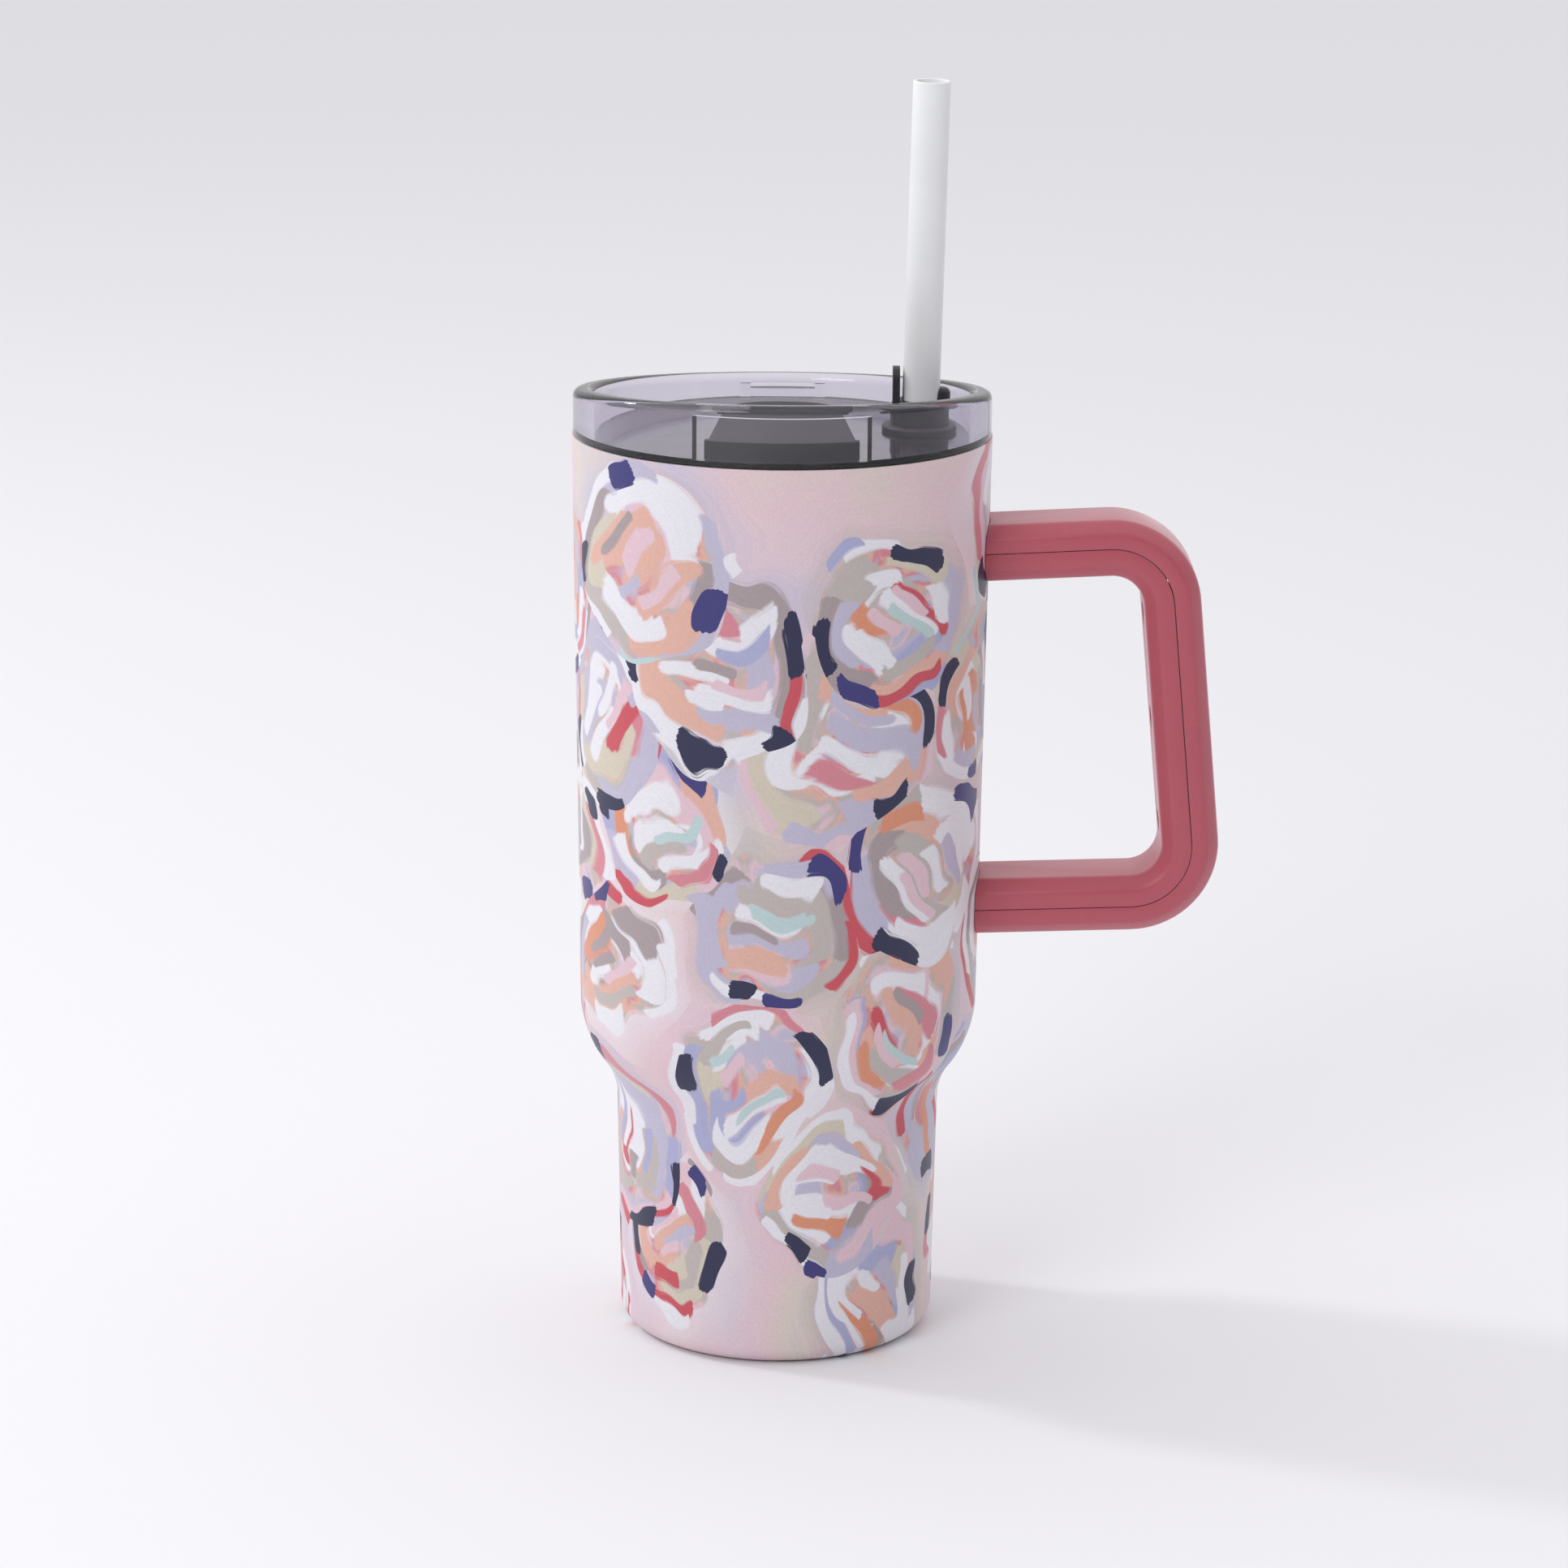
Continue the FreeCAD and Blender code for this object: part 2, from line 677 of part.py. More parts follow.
def make_bracket(name, z):
    """Steel plate welded on the outer wall, with a threaded lug inside the handle."""
    body = new_body(f"{name}_bracket")
    plate = box_outline(
        "-bracket_width / 2", "bracket_width / 2",
        f"{z} - bracket_height / 2", f"{z} + bracket_height / 2",
    )
    lug = box_outline(
        "-lug_width / 2", "lug_width / 2", f"{z} - lug_height / 2", f"{z} + lug_height / 2"
    )
    extrude(body, "plate", "YZ_Plane", [plate], "rim_radius + bracket_wall - seam_start", "seam_start")
    extrude(body, "lug", "YZ_Plane", [lug], "rim_radius + lug_length - seam_start", "seam_start")
    outer_wall = [
        ("0", "shoulder_top"),
        ("shoulder_radius", "shoulder_top"),
        ("rim_radius", "body_height"),
        ("0", "body_height"),
    ]
    turn(body, "wall_cut", outer_wall, cut=True)
    hole = [("bracket_screw", "0", "bracket_screw_radius")]
    extrude(body, "thread", "XY_Plane", hole, "2 * lug_height", z, True, both_ways=True)
    return body


def make_screw(name, radius, length, start, turned):
    """A socket-head screw whose head starts at the given place and points into the handle."""
    parts = {
        "head": doc.addObject("Part::Cylinder", f"{name}_head"),
        "shank": doc.addObject("Part::Cylinder", f"{name}_shank"),
        "socket": doc.addObject("Part::Prism", f"{name}_socket"),
    }
    bind(parts["head"], Radius=f"{radius} * screw_head_ratio", Height="screw_head_height")
    bind(parts["shank"], Radius=radius, Height=f"screw_head_height + {length}")
    bind(parts["socket"], Circumradius=radius, Height="screw_head_height / 2")
    solid = doc.addObject("Part::Fuse", f"{name}_solid")
    solid.Base, solid.Tool = parts["head"], parts["shank"]
    screw = doc.addObject("Part::Cut", name)
    screw.Base, screw.Tool = solid, parts["socket"]
    screw.Placement = FreeCAD.Placement(FreeCAD.Vector(), turned)
    place(screw, *start)
    return screw


def make_screw_set(label, screws):
    """Like screws kept together as one node of separate solids."""
    group = doc.addObject("Part::Compound", label)
    group.Label = label
    group.Links = screws
    return group


def make_bracket_screws():
    """One screw up through each arm of the handle into its bracket."""
    screws = []
    for name, (z, depth) in BRACKETS.items():
        start = ("bracket_screw", "0", f"{z} - {depth} + 2 * screw_clearance")
        screws.append(
            make_screw(f"{name}_screw", "bracket_screw_radius", "bracket_screw_length", start,
                       FreeCAD.Rotation())
        )
    return make_screw_set("bracket_screws", screws)


def make_grip_screws():
    """Screws along the grip that draw its two halves together."""
    turned = FreeCAD.Rotation(FreeCAD.Vector(0, 1, 0), 90)
    length = "(handle_inner_depth + handle_outer_depth - handle_wall - screw_head_height - 1)"
    screws = []
    for number, (x, z) in enumerate(grip_screw_places(), start=1):
        start = (f"{x} - handle_inner_depth + 2 * screw_clearance", "0", z)
        screws.append(make_screw(f"grip_screw_{number}", "grip_screw_radius", length, start, turned))
    return make_screw_set("grip_screws", screws)


def make_recess(body, name, side, half_width, top):
    """Thin the lid's wall from inside, over a width centred on the front or the back."""
    sketch = new_sketch(body, f"{name}_profile", "YZ_Plane")
    near = f"({side}) * (well_radius - rib_depth)"
    far = f"({side}) * recess_radius"
    draw_outline(sketch, box_outline(near, far, "lid_floor_top", top))
    groove = body.newObject("PartDesign::Groove", name)
    groove.Profile = sketch
    groove.ReferenceAxis = (sketch, ["V_Axis"])
    groove.Midplane = True
    bind(groove, Angle=f"2 * asin({half_width} / well_radius)")
    doc.recompute()
    return groove


def make_lid_shell():
    """Clear lid: slanted rim, well, sip opening, slider slot, straw hole and plug."""
    body = new_body("lid_shell")
    tall = "lid_rim_height + lid_radius"
    turn(
        body,
        "bowl",
        [
            ("0", "floor_bottom"),
            ("plug_radius - plug_wall", "floor_bottom"),
            ("plug_radius - plug_wall", "lid_edge - plug_depth"),
            ("plug_radius", "lid_edge - plug_depth"),
            ("plug_radius", "lid_edge"),
            ("lid_radius", "lid_edge"),
            ("lid_radius", tall),
            ("well_radius", tall),
            ("well_radius", "lid_floor_top"),
            ("0", "lid_floor_top"),
        ],
    )
    # The cutting shapes only have to reach past the lid
    beyond = "lid_radius * 1.1"
    above_rim = [
        (f"-({beyond})", f"lid_rim_height + {beyond} * rim_slope"),
        (beyond, f"lid_rim_height - {beyond} * rim_slope"),
        (beyond, f"{tall} + lid_wall"),
        (f"-({beyond})", f"{tall} + lid_wall"),
    ]
    extrude(body, "slanted_rim", "YZ_Plane", [above_rim], "3 * lid_radius", cut=True, both_ways=True)
    rim, slope = value("lid_rim_height"), value("rim_slope")

    def on_rim(edge):
        return all(abs(rim - p.y * slope - p.z) < 1e-4 for p in edge.discretize(7))

    dress(body, "Fillet", "rim_round", on_rim, "lid_rim_round")
    make_recess(body, "front_recess", -1, "front_recess_half_width", "front_recess_top")
    make_recess(body, "spout_recess", 1, "spout_half_width", "spout_top")
    ribs = [
        box_outline("spout_half_width", "spout_half_width + rib_width", "rib_face", "recess_radius"),
        box_outline("-spout_half_width - rib_width", "-spout_half_width", "rib_face", "recess_radius"),
    ]
    low = "((lid_edge + lid_floor_top) / 2)"
    extrude(body, "spout_ribs", "XY_Plane", ribs, f"spout_top - {low}", low)
    sill = box_outline("-spout_half_width - rib_width / 2", "spout_half_width + rib_width / 2",
                       "rib_face + rib_depth / 2", "recess_radius + rib_depth / 2")
    extrude(body, "spout_sill", "XY_Plane", [sill], f"lid_floor_top + sill_height - {low}", low)
    above = "lid_floor_top + lid_floor_wall / 2"
    through = "2 * lid_floor_wall"
    sip = box_outline("-sip_half_length", "sip_half_length", "sip_centre - sip_half_width",
                      "sip_centre + sip_half_width", "sip_corner")
    slot = box_outline(
        "-stem_half_width - slot_clearance", "stem_half_width + slot_clearance",
        "stem_centre - stem_half_length - slot_clearance",
        "stem_centre + stem_half_length + slider_travel + slot_clearance",
    )
    straw_hole = ("straw_reach", "0", "grommet_neck_radius")
    extrude(body, "floor_openings", "XY_Plane", [sip, slot, straw_hole], through, above, True)
    return body


def make_lid_gasket():
    """Soft ring round the plug, with two fins and a flange between lid and rim."""
    body = new_body("lid_gasket")
    sleeve = "plug_radius + gasket_sleeve"
    fin_tip = "mouth_radius - mouth_clearance"
    corners = [
        ("plug_radius", "lid_edge"),
        ("plug_radius", "lid_edge - gasket_length"),
        (sleeve, "lid_edge - gasket_length"),
    ]
    for number in (2, 1):
        middle = f"lid_edge - {number} * gasket_fin_pitch"
        corners += [
            (sleeve, f"{middle} - gasket_fin / 2"),
            (fin_tip, f"{middle} - gasket_fin / 6"),
            (fin_tip, f"{middle} + gasket_fin / 6"),
            (sleeve, f"{middle} + gasket_fin / 2"),
        ]
    corners += [
        (sleeve, "body_height"),
        ("lid_radius - gasket_inset", "body_height"),
        ("lid_radius - gasket_inset", "lid_edge"),
    ]
    turn(body, "ring", corners)
    return body


def straw_ends():
    """Where the straw's axis has its foot and where it crosses the lid's floor."""
    foot = FreeCAD.Vector(value("straw_foot_reach"), value("straw_foot_front"), value("straw_foot"))
    crossing = FreeCAD.Vector(value("straw_reach"), 0, value("lid_floor_top"))
    return foot, crossing


def straw_lean():
    """The turn that takes the straw from upright to its lean, outwards and to the front."""
    foot, crossing = straw_ends()
    return FreeCAD.Rotation(FreeCAD.Vector(0, 0, 1), crossing - foot)


def make_straw_grommet():
    """Soft sleeve clipped in the lid's floor, with a pull tab and a thumb lobe."""
    body = new_body("straw_grommet")
    place(body, x="straw_reach", z="lid_floor_top")
    bottom = "-lid_floor_wall - grommet_lower_height"
    turn(
        body,
        "sleeve",
        [
            ("0", bottom),
            ("grommet_neck_radius", bottom),
            ("grommet_neck_radius + grommet_barb", f"{bottom} + grommet_lower_height / 2"),
            ("grommet_neck_radius + grommet_barb", "-lid_floor_wall"),
            ("grommet_neck_radius", "-lid_floor_wall"),
            ("grommet_neck_radius", "0"),
            ("grommet_flange_radius", "0"),
            ("grommet_flange_radius", "grommet_flange", "grommet_flange / 2"),
            ("grommet_radius", "grommet_flange"),
            ("grommet_radius", "grommet_height", "grommet_round"),
            ("0", "grommet_height"),
        ],
    )
    tab = [
        ("-tab_width / 2", "grommet_flange"),
        ("tab_width / 2", "grommet_flange"),
        ("tab_width / 2", "tab_height", "tab_round"),
        ("-tab_width / 2", "tab_height", "tab_round"),
    ]
    extrude(body, "pull_tab", "YZ_Plane", [tab], "tab_thickness",
            "-straw_radius - tab_clearance - tab_thickness")
    lobe = [("lobe_reach", "0", "lobe_radius")]
    extrude(body, "lobe", "XY_Plane", lobe, "lobe_height - grommet_flange", "grommet_flange")
    top = value("lobe_height")
    dress(body, "Fillet", "lobe_round",
          lambda edge: all(abs(v.Z - top) < 1e-6 for v in edge.Vertexes), "lobe_round")
    bore = body.newObject("PartDesign::SubtractiveCylinder", "straw_bore")
    bore.AttachmentSupport = [(origin_plane(body, "XY_Plane"), "")]
    bore.MapMode = "FlatFace"
    bind(bore, Radius="straw_radius + straw_fit", Height="4 * lobe_height")
    lean = straw_lean()
    start = lean.multVec(FreeCAD.Vector(0, 0, -2 * value("lobe_height")))
    bore.AttachmentOffset = FreeCAD.Placement(start, lean)
    doc.recompute()
    return body


def stem_outline():
    """The slider's stem, seen from above."""
    return box_outline("-stem_half_width", "stem_half_width", "stem_centre - stem_half_length",
                       "stem_centre + stem_half_length")


def seal_outline():
    """The seal pad, seen from above: the slider's travel takes it over the sip opening."""
    return box_outline("-seal_half_width", "seal_half_width", "seal_centre - seal_half_length",
                       "seal_centre + seal_half_length", "seal_corner")


def make_slider():
    """Sliding cover of the sip opening, with a thumb lip, a stem and a seal pocket."""
    body = new_body("slider")
    lip_top = "slider_top + thumb_lip_height"
    lip_inside = "slider_front_radius - thumb_lip_depth"
    turn(
        body,
        "plate",
        [
            ("0", "slider_under"),
            ("slider_front_radius", "slider_under"),
            ("slider_front_radius", lip_top, "slider_edge_round"),
            (lip_inside, lip_top, "slider_edge_round"),
            (lip_inside, "slider_top"),
            ("0", "slider_top"),
        ],
    )
    # The plate is cut between its outline and a square that reaches past it
    far = "slider_front_radius * 1.2"
    front = "-slider_front_radius * 1.1"
    outline = [
        ("-slider_half_width", front),
        ("slider_half_width", front),
        ("slider_tip_half_width", "slider_tip", "slider_tip_round"),
        ("-slider_tip_half_width", "slider_tip", "slider_tip_round"),
    ]
    around = box_outline(f"-{far}", far, f"-{far}", far)
    extrude(body, "outline_cut", "XY_Plane", [around, outline], "3 * slider_thickness",
            "slider_top", True, both_ways=True)
    extrude(body, "stem", "XY_Plane", [stem_outline()],
            "slider_under + slider_thickness / 2 - retainer_bottom", "retainer_bottom")
    extrude(body, "seal_pocket", "XY_Plane", [seal_outline()],
            "2 * (seal_thickness + seal_gap - slider_gap)", "slider_under", True, both_ways=True)
    return body


def make_slider_seal():
    """Soft pad let into the underside of the slider."""
    body = new_body("slider_seal")
    extrude(body, "pad", "XY_Plane", [seal_outline()], "seal_thickness", "lid_floor_top + seal_gap")
    return body


def make_slider_retainer():
    """Clip on the stem's foot that keeps the slider down on the lid's floor."""
    body = new_body("slider_retainer")
    plate = box_outline(
        "-retainer_half_width", "retainer_half_width",
        "stem_centre - retainer_half_length", "stem_centre + retainer_half_length", "seal_corner / 2",
    )
    extrude(body, "clip", "XY_Plane", [plate, stem_outline()], "retainer_thickness", "retainer_bottom")
    return body


def make_straw():
    """Straight tube that leans in the grommet and ends above the liner's floor."""
    body = new_body("straw")
    inside = "straw_radius - straw_wall"
    length = "straw_below_lid + straw_above_lid"
    turn(
        body,
        "tube",
        [
            (inside, "0", "straw_lip_round"),
            ("straw_radius", "0", "straw_lip_round"),
            ("straw_radius", length, "straw_lip_round"),
            (inside, length, "straw_lip_round"),
        ],
    )
    body.Placement = FreeCAD.Placement(straw_ends()[0], straw_lean())
    return body


def make_tumbler():
    """Every sub-part, each as one document object."""
    return [
        make_outer_shell(),
        make_inner_liner(),
        make_copper_foil(),
        make_outer_base(),
        make_vacuum_seal(),
        make_getter(),
        make_base_cover(),
        make_handle_outer_shell(),
        make_handle_inner_shell(),
        *[make_bracket(name, height) for name, (height, _) in BRACKETS.items()],
        make_bracket_screws(),
        make_grip_screws(),
        make_lid_shell(),
        make_lid_gasket(),
        make_straw_grommet(),
        make_slider(),
        make_slider_seal(),
        make_slider_retainer(),
        make_straw(),
    ]


def check(parts):
    """Stop if any object failed or any sub-part isn't a valid solid shape."""
    for item in doc.Objects:
        if "Invalid" in item.State or "Error" in item.State:
            raise ValueError(f"{item.Name} failed: {item.getStatusString()}")
    for part in parts:
        if part.Shape.isNull() or not part.Shape.isValid() or not part.Shape.Solids:
            raise ValueError(f"{part.Label} has no valid solid")


def export(parts):
    """Write each sub-part's shape to its own file."""
    os.makedirs("parts", exist_ok=True)
    for part in parts:
        part.Shape.exportStep(f"parts/{part.Label}.step")


fill_sheet()
tumbler = make_tumbler()
doc.recompute()
check(tumbler)
export(tumbler)
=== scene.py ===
"""An insulated tumbler with a clear lid, a side handle and a straw, built round its CAD frame."""

import math
import random

import bmesh
import bpy
from bpy.props import FloatProperty, FloatVectorProperty, IntProperty, PointerProperty
from mathutils import Matrix, Vector


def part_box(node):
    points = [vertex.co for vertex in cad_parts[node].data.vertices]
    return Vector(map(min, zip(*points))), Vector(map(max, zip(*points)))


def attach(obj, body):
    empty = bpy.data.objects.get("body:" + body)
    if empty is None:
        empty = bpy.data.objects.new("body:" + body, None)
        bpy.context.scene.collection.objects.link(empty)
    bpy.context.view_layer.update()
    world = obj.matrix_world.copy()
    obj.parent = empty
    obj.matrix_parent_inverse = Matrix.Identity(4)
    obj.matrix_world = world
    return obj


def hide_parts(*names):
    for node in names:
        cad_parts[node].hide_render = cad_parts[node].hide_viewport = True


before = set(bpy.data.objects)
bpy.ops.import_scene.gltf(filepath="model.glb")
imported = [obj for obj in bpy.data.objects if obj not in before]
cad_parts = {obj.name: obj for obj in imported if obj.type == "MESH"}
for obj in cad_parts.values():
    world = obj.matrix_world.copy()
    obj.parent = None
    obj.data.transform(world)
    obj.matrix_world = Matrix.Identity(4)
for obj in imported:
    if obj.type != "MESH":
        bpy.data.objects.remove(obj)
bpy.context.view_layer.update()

bl_info = {
    "name": "Insulated Tumbler",
    "version": (1, 0, 0),
    "blender": (4, 5, 0),
    "location": "View3D > Sidebar > Tumbler",
    "description": "Builds a printed insulated tumbler with handle, lid and straw",
    "category": "Object",
}

MM = 0.001
WALL_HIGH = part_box("outer_shell")[1]
RIM = WALL_HIGH.x
MOUTH = WALL_HIGH.z


# Sizes and colours that a user may change

class TumblerSizes(bpy.types.PropertyGroup):
    """Sizes of the pieces that are modelled here."""
    foot_radius: FloatProperty(name="Foot radius", description="Outside of the foot",
                               default=38.8 * MM, unit="LENGTH", precision=5)
    waist_radius: FloatProperty(name="Waist radius", description="Outside just under the shoulder",
                                default=39.9 * MM, unit="LENGTH", precision=5)
    waist_height: FloatProperty(name="Waist height", description="Where the shoulder starts",
                                default=64 * MM, unit="LENGTH", precision=5)
    shoulder_radius: FloatProperty(name="Shoulder radius", description="Outside just over the shoulder",
                                   default=48.8 * MM, unit="LENGTH", precision=5)
    shoulder_height: FloatProperty(name="Shoulder height", description="Where the straight wall starts",
                                   default=76.03 * MM, unit="LENGTH", precision=5)
    wall: FloatProperty(name="Steel thickness", description="Thickness of the outer wall",
                        default=0.6 * MM, unit="LENGTH", precision=5)
    handle_wall: FloatProperty(name="Handle wall", description="Thickness of the handle's shells",
                               default=2.4 * MM, unit="LENGTH", precision=5)
    straw_wall: FloatProperty(name="Straw wall", description="Thickness of the straw's wall",
                              default=0.9 * MM, unit="LENGTH", precision=5)
    blooms: IntProperty(name="Blooms", description="How many blooms are printed round the wall",
                        default=40, min=1, max=60)


class TumblerColours(bpy.types.PropertyGroup):
    """Colours of the finishes."""
    handle: FloatVectorProperty(name="Handle", description="Moulded handle", subtype="COLOR", size=3,
                                default=(0.51, 0.09, 0.125))
    lid: FloatVectorProperty(name="Lid tint", description="Clear lid", subtype="COLOR", size=3,
                             default=(0.94, 0.92, 0.97))
    dark: FloatVectorProperty(name="Dark parts", description="Slider, grommet and gasket", subtype="COLOR",
                              size=3, default=(0.028, 0.028, 0.033))
    straw: FloatVectorProperty(name="Straw", description="Frosted straw", subtype="COLOR", size=3,
                               default=(0.97, 0.98, 0.98))


def sizes():
    return bpy.context.scene.tumbler_sizes


def colours():
    return bpy.context.scene.tumbler_colours


# Modelling helpers

def start():
    """Leave edit mode and select nothing."""
    if bpy.context.object and bpy.context.object.mode != "OBJECT":
        bpy.ops.object.mode_set(mode="OBJECT")
    bpy.ops.object.select_all(action="DESELECT")


def only(piece):
    """Make a piece the one selected, active object."""
    start()
    piece.select_set(True)
    bpy.context.view_layer.objects.active = piece
    return piece


def edit(mode="VERT"):
    bpy.ops.object.mode_set(mode="EDIT")
    bpy.ops.mesh.select_mode(type=mode)


def pick(test, kind="verts"):
    """Select the vertices, edges or faces in edit mode whose middle passes the test."""
    mesh = bpy.context.edit_object.data
    work = bmesh.from_edit_mesh(mesh)
    for group in (work.verts, work.edges, work.faces):
        for item in group:
            item.select = False
    count = 0
    for item in getattr(work, kind):
        if kind == "verts":
            here = item.co
        elif kind == "edges":
            here = (item.verts[0].co + item.verts[1].co) / 2
        else:
            here = item.calc_center_median()
        if test(item, here):
            item.select_set(True)
            count += 1
    work.select_flush_mode()
    bmesh.update_edit_mesh(mesh)
    if not count:
        raise RuntimeError("nothing was picked")


def modifier(piece, kind, **settings):
    """Add a modifier to a piece and apply it."""
    only(piece)
    made = piece.modifiers.new(kind.title(), kind)
    for name, setting in settings.items():
        setattr(made, name, setting)
    bpy.ops.object.modifier_apply(modifier=made.name)


def clean(piece, gap=1e-6):
    """Merge doubles and turn the faces outwards."""
    only(piece)
    edit()
    bpy.ops.mesh.select_all(action="SELECT")
    bpy.ops.mesh.remove_doubles(threshold=gap)
    bpy.ops.mesh.normals_make_consistent(inside=False)
    bpy.ops.object.mode_set(mode="OBJECT")


def settle(piece, name, body, slot, material, *nodes, angle=30):
    """Name a finished piece, smooth it, give it its material, tie it to its body and hide the CAD nodes it
    replaces. The slot is not used.
    """
    only(piece)
    bpy.ops.object.transform_apply(location=True, rotation=True, scale=True)
    piece.name = piece.data.name = name
    bpy.ops.object.shade_smooth_by_angle(angle=math.radians(angle))
    piece.data.materials.clear()
    piece.data.materials.append(material)
    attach(piece, body)
    if nodes:
        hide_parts(*nodes)
    return piece


# Material helpers

class Nodes:
    """A node tree under construction, with short calls that add and link its nodes."""

    def __init__(self, tree):
        self.tree = tree

    def add(self, kind, **settings):
        node = self.tree.nodes.new(kind)
        for name, setting in settings.items():
            setattr(node, name, setting)
        return node

    def set(self, node, socket, setting):
        where = node.inputs[socket]
        if isinstance(setting, bpy.types.NodeSocket):
            self.tree.links.new(setting, where)
        else:
            where.default_value = (*setting, 1) if where.type == "RGBA" and len(setting) == 3 else setting

    def math(self, operation, a, b=0.0, c=0.0):
        node = self.add("ShaderNodeMath", operation=operation)
        for i, setting in enumerate((a, b, c)):
            self.set(node, i, setting)
        return node.outputs[0]

    def vector(self, operation, a, b=(0, 0, 0), c=(0, 0, 0)):
        node = self.add("ShaderNodeVectorMath", operation=operation)
        self.set(node, 0, a)
        if operation == "SCALE":
            self.set(node, 3, b)
        elif operation != "LENGTH":
            self.set(node, 1, b)
            if operation in ("MULTIPLY_ADD", "WRAP"):
                self.set(node, 2, c)
        return node.outputs["Value" if operation == "LENGTH" else "Vector"]

    def split(self, vector):
        node = self.add("ShaderNodeSeparateXYZ")
        self.set(node, 0, vector)
        return node.outputs

    def join(self, x=0.0, y=0.0, z=0.0):
        node = self.add("ShaderNodeCombineXYZ")
        for i, setting in enumerate((x, y, z)):
            self.set(node, i, setting)
        return node.outputs[0]

    def noise(self, vector, scale, detail=2.0, rough=0.5, colour=False):
        node = self.add("ShaderNodeTexNoise")
        self.set(node, "Vector", vector)
        self.set(node, "Scale", scale)
        self.set(node, "Detail", detail)
        self.set(node, "Roughness", rough)
        return node.outputs["Color" if colour else "Fac"]

    def parts(self, colour):
        """A colour's three parts."""
        node = self.add("ShaderNodeSeparateColor")
        self.set(node, 0, colour)
        return node.outputs[:3]

    def drift(self, vector, scale, detail):
        """A noise vector centred on nought."""
        parts = self.parts(self.noise(vector, scale, detail, colour=True))
        return self.vector("SUBTRACT", self.join(*parts), (0.5, 0.5, 0.5))

    def draws(self, seed, number):
        """Four even draws that belong to one stroke of one bloom."""
        dice = self.add("ShaderNodeTexWhiteNoise", noise_dimensions="2D")
        self.set(dice, "Vector", self.join(seed, number, 0.0))
        return (*self.parts(dice.outputs["Color"]), dice.outputs["Value"])

    def band(self, value, low, high, to_low=0.0, to_high=1.0):
        """Map a range of values onto another, clamped."""
        node = self.add("ShaderNodeMapRange")
        for i, setting in enumerate((value, low, high, to_low, to_high)):
            self.set(node, i, setting)
        return node.outputs[0]

    def mix(self, factor, a, b, blend="MIX"):
        node = self.add("ShaderNodeMix", data_type="RGBA", blend_type=blend)
        self.set(node, 0, factor)
        self.set(node, 6, a)
        self.set(node, 7, b)
        return node.outputs[2]

    def swap(self, factor, a, b):
        """One vector or the other."""
        node = self.add("ShaderNodeMix", data_type="VECTOR")
        self.set(node, 0, factor)
        self.set(node, 4, a)
        self.set(node, 5, b)
        return node.outputs[1]

    def ramp(self, value, paints, steps=False):
        """Colours along a value, evenly spaced, in steps or blended."""
        node = self.add("ShaderNodeValToRGB")
        ramp = node.color_ramp
        ramp.interpolation = "CONSTANT" if steps else "LINEAR"
        while len(ramp.elements) < len(paints):
            ramp.elements.new(1.0)
        for i, paint in enumerate(paints):
            ramp.elements[i].position = i / (len(paints) if steps else len(paints) - 1)
            ramp.elements[i].color = (*paint, 1)
        self.set(node, 0, value)
        return node.outputs[0]

    def call(self, group, **settings):
        """Use a group, with its inputs set by name."""
        node = self.add("ShaderNodeGroup", node_tree=group.tree)
        for name, setting in settings.items():
            self.set(node, name, setting)
        return node.outputs


class Group(Nodes):
    """A group of nodes that is used many times."""

    def __init__(self, name, takes, gives):
        super().__init__(bpy.data.node_groups.new(name, "ShaderNodeTree"))
        for way, sockets in (("INPUT", takes), ("OUTPUT", gives)):
            for socket, kind in sockets.items():
                self.tree.interface.new_socket(socket, in_out=way, socket_type=f"NodeSocket{kind}")
        self.takes = self.add("NodeGroupInput").outputs

    def give(self, **results):
        out = self.add("NodeGroupOutput")
        for name, result in results.items():
            self.set(out, name, result)


class Finish(Nodes):
    """A material under construction."""

    def __init__(self, name, **sockets):
        self.material = bpy.data.materials.new(name)
        self.material.use_nodes = True
        super().__init__(self.material.node_tree)
        self.shader = self.tree.nodes["Principled BSDF"]
        self.out = self.tree.nodes["Material Output"]
        for socket, setting in sockets.items():
            self.set(self.shader, socket.replace("_", " ").title().replace("Ior", "IOR"), setting)
        self.place = self.add("ShaderNodeTexCoord").outputs["Object"]

    def bump(self, height, depth, strength=1.0):
        node = self.add("ShaderNodeBump")
        self.set(node, "Height", height)
        self.set(node, "Distance", depth)
        self.set(node, "Strength", strength)
        self.set(self.shader, "Normal", node.outputs[0])


def paint(red, green, blue):
    """A colour from display values of 0 to 255."""
    def light(part):
        part /= 255
        return part / 12.92 if part <= 0.04045 else ((part + 0.055) / 1.055) ** 2.4
    return light(red), light(green), light(blue)


# The printed wall

WHITE = paint(238, 236, 242)
LAVENDER = paint(198, 192, 214)
PERIWINKLE = paint(176, 178, 214)
TAUPE = paint(172, 158, 160)
STONE = paint(196, 186, 182)
CREAM = paint(216, 206, 188)
PEACH = paint(231, 182, 166)
ORANGE = paint(226, 150, 118)
CORAL = paint(208, 82, 94)
ROSE = paint(218, 138, 150)
BLUSH = paint(232, 200, 210)
MINT = paint(194, 216, 216)
NAVY = paint(38, 40, 76)
INDIGO = paint(58, 54, 122)


GOLDEN_TURN = math.radians(137.508)
# How far the print's shapes drift from true, and the size of that drift
DRIFT, DRIFT_SCALE = 13 * MM, 38
BEND, BEND_SCALE = 0.55, 1.3
BRISTLES = 26.0


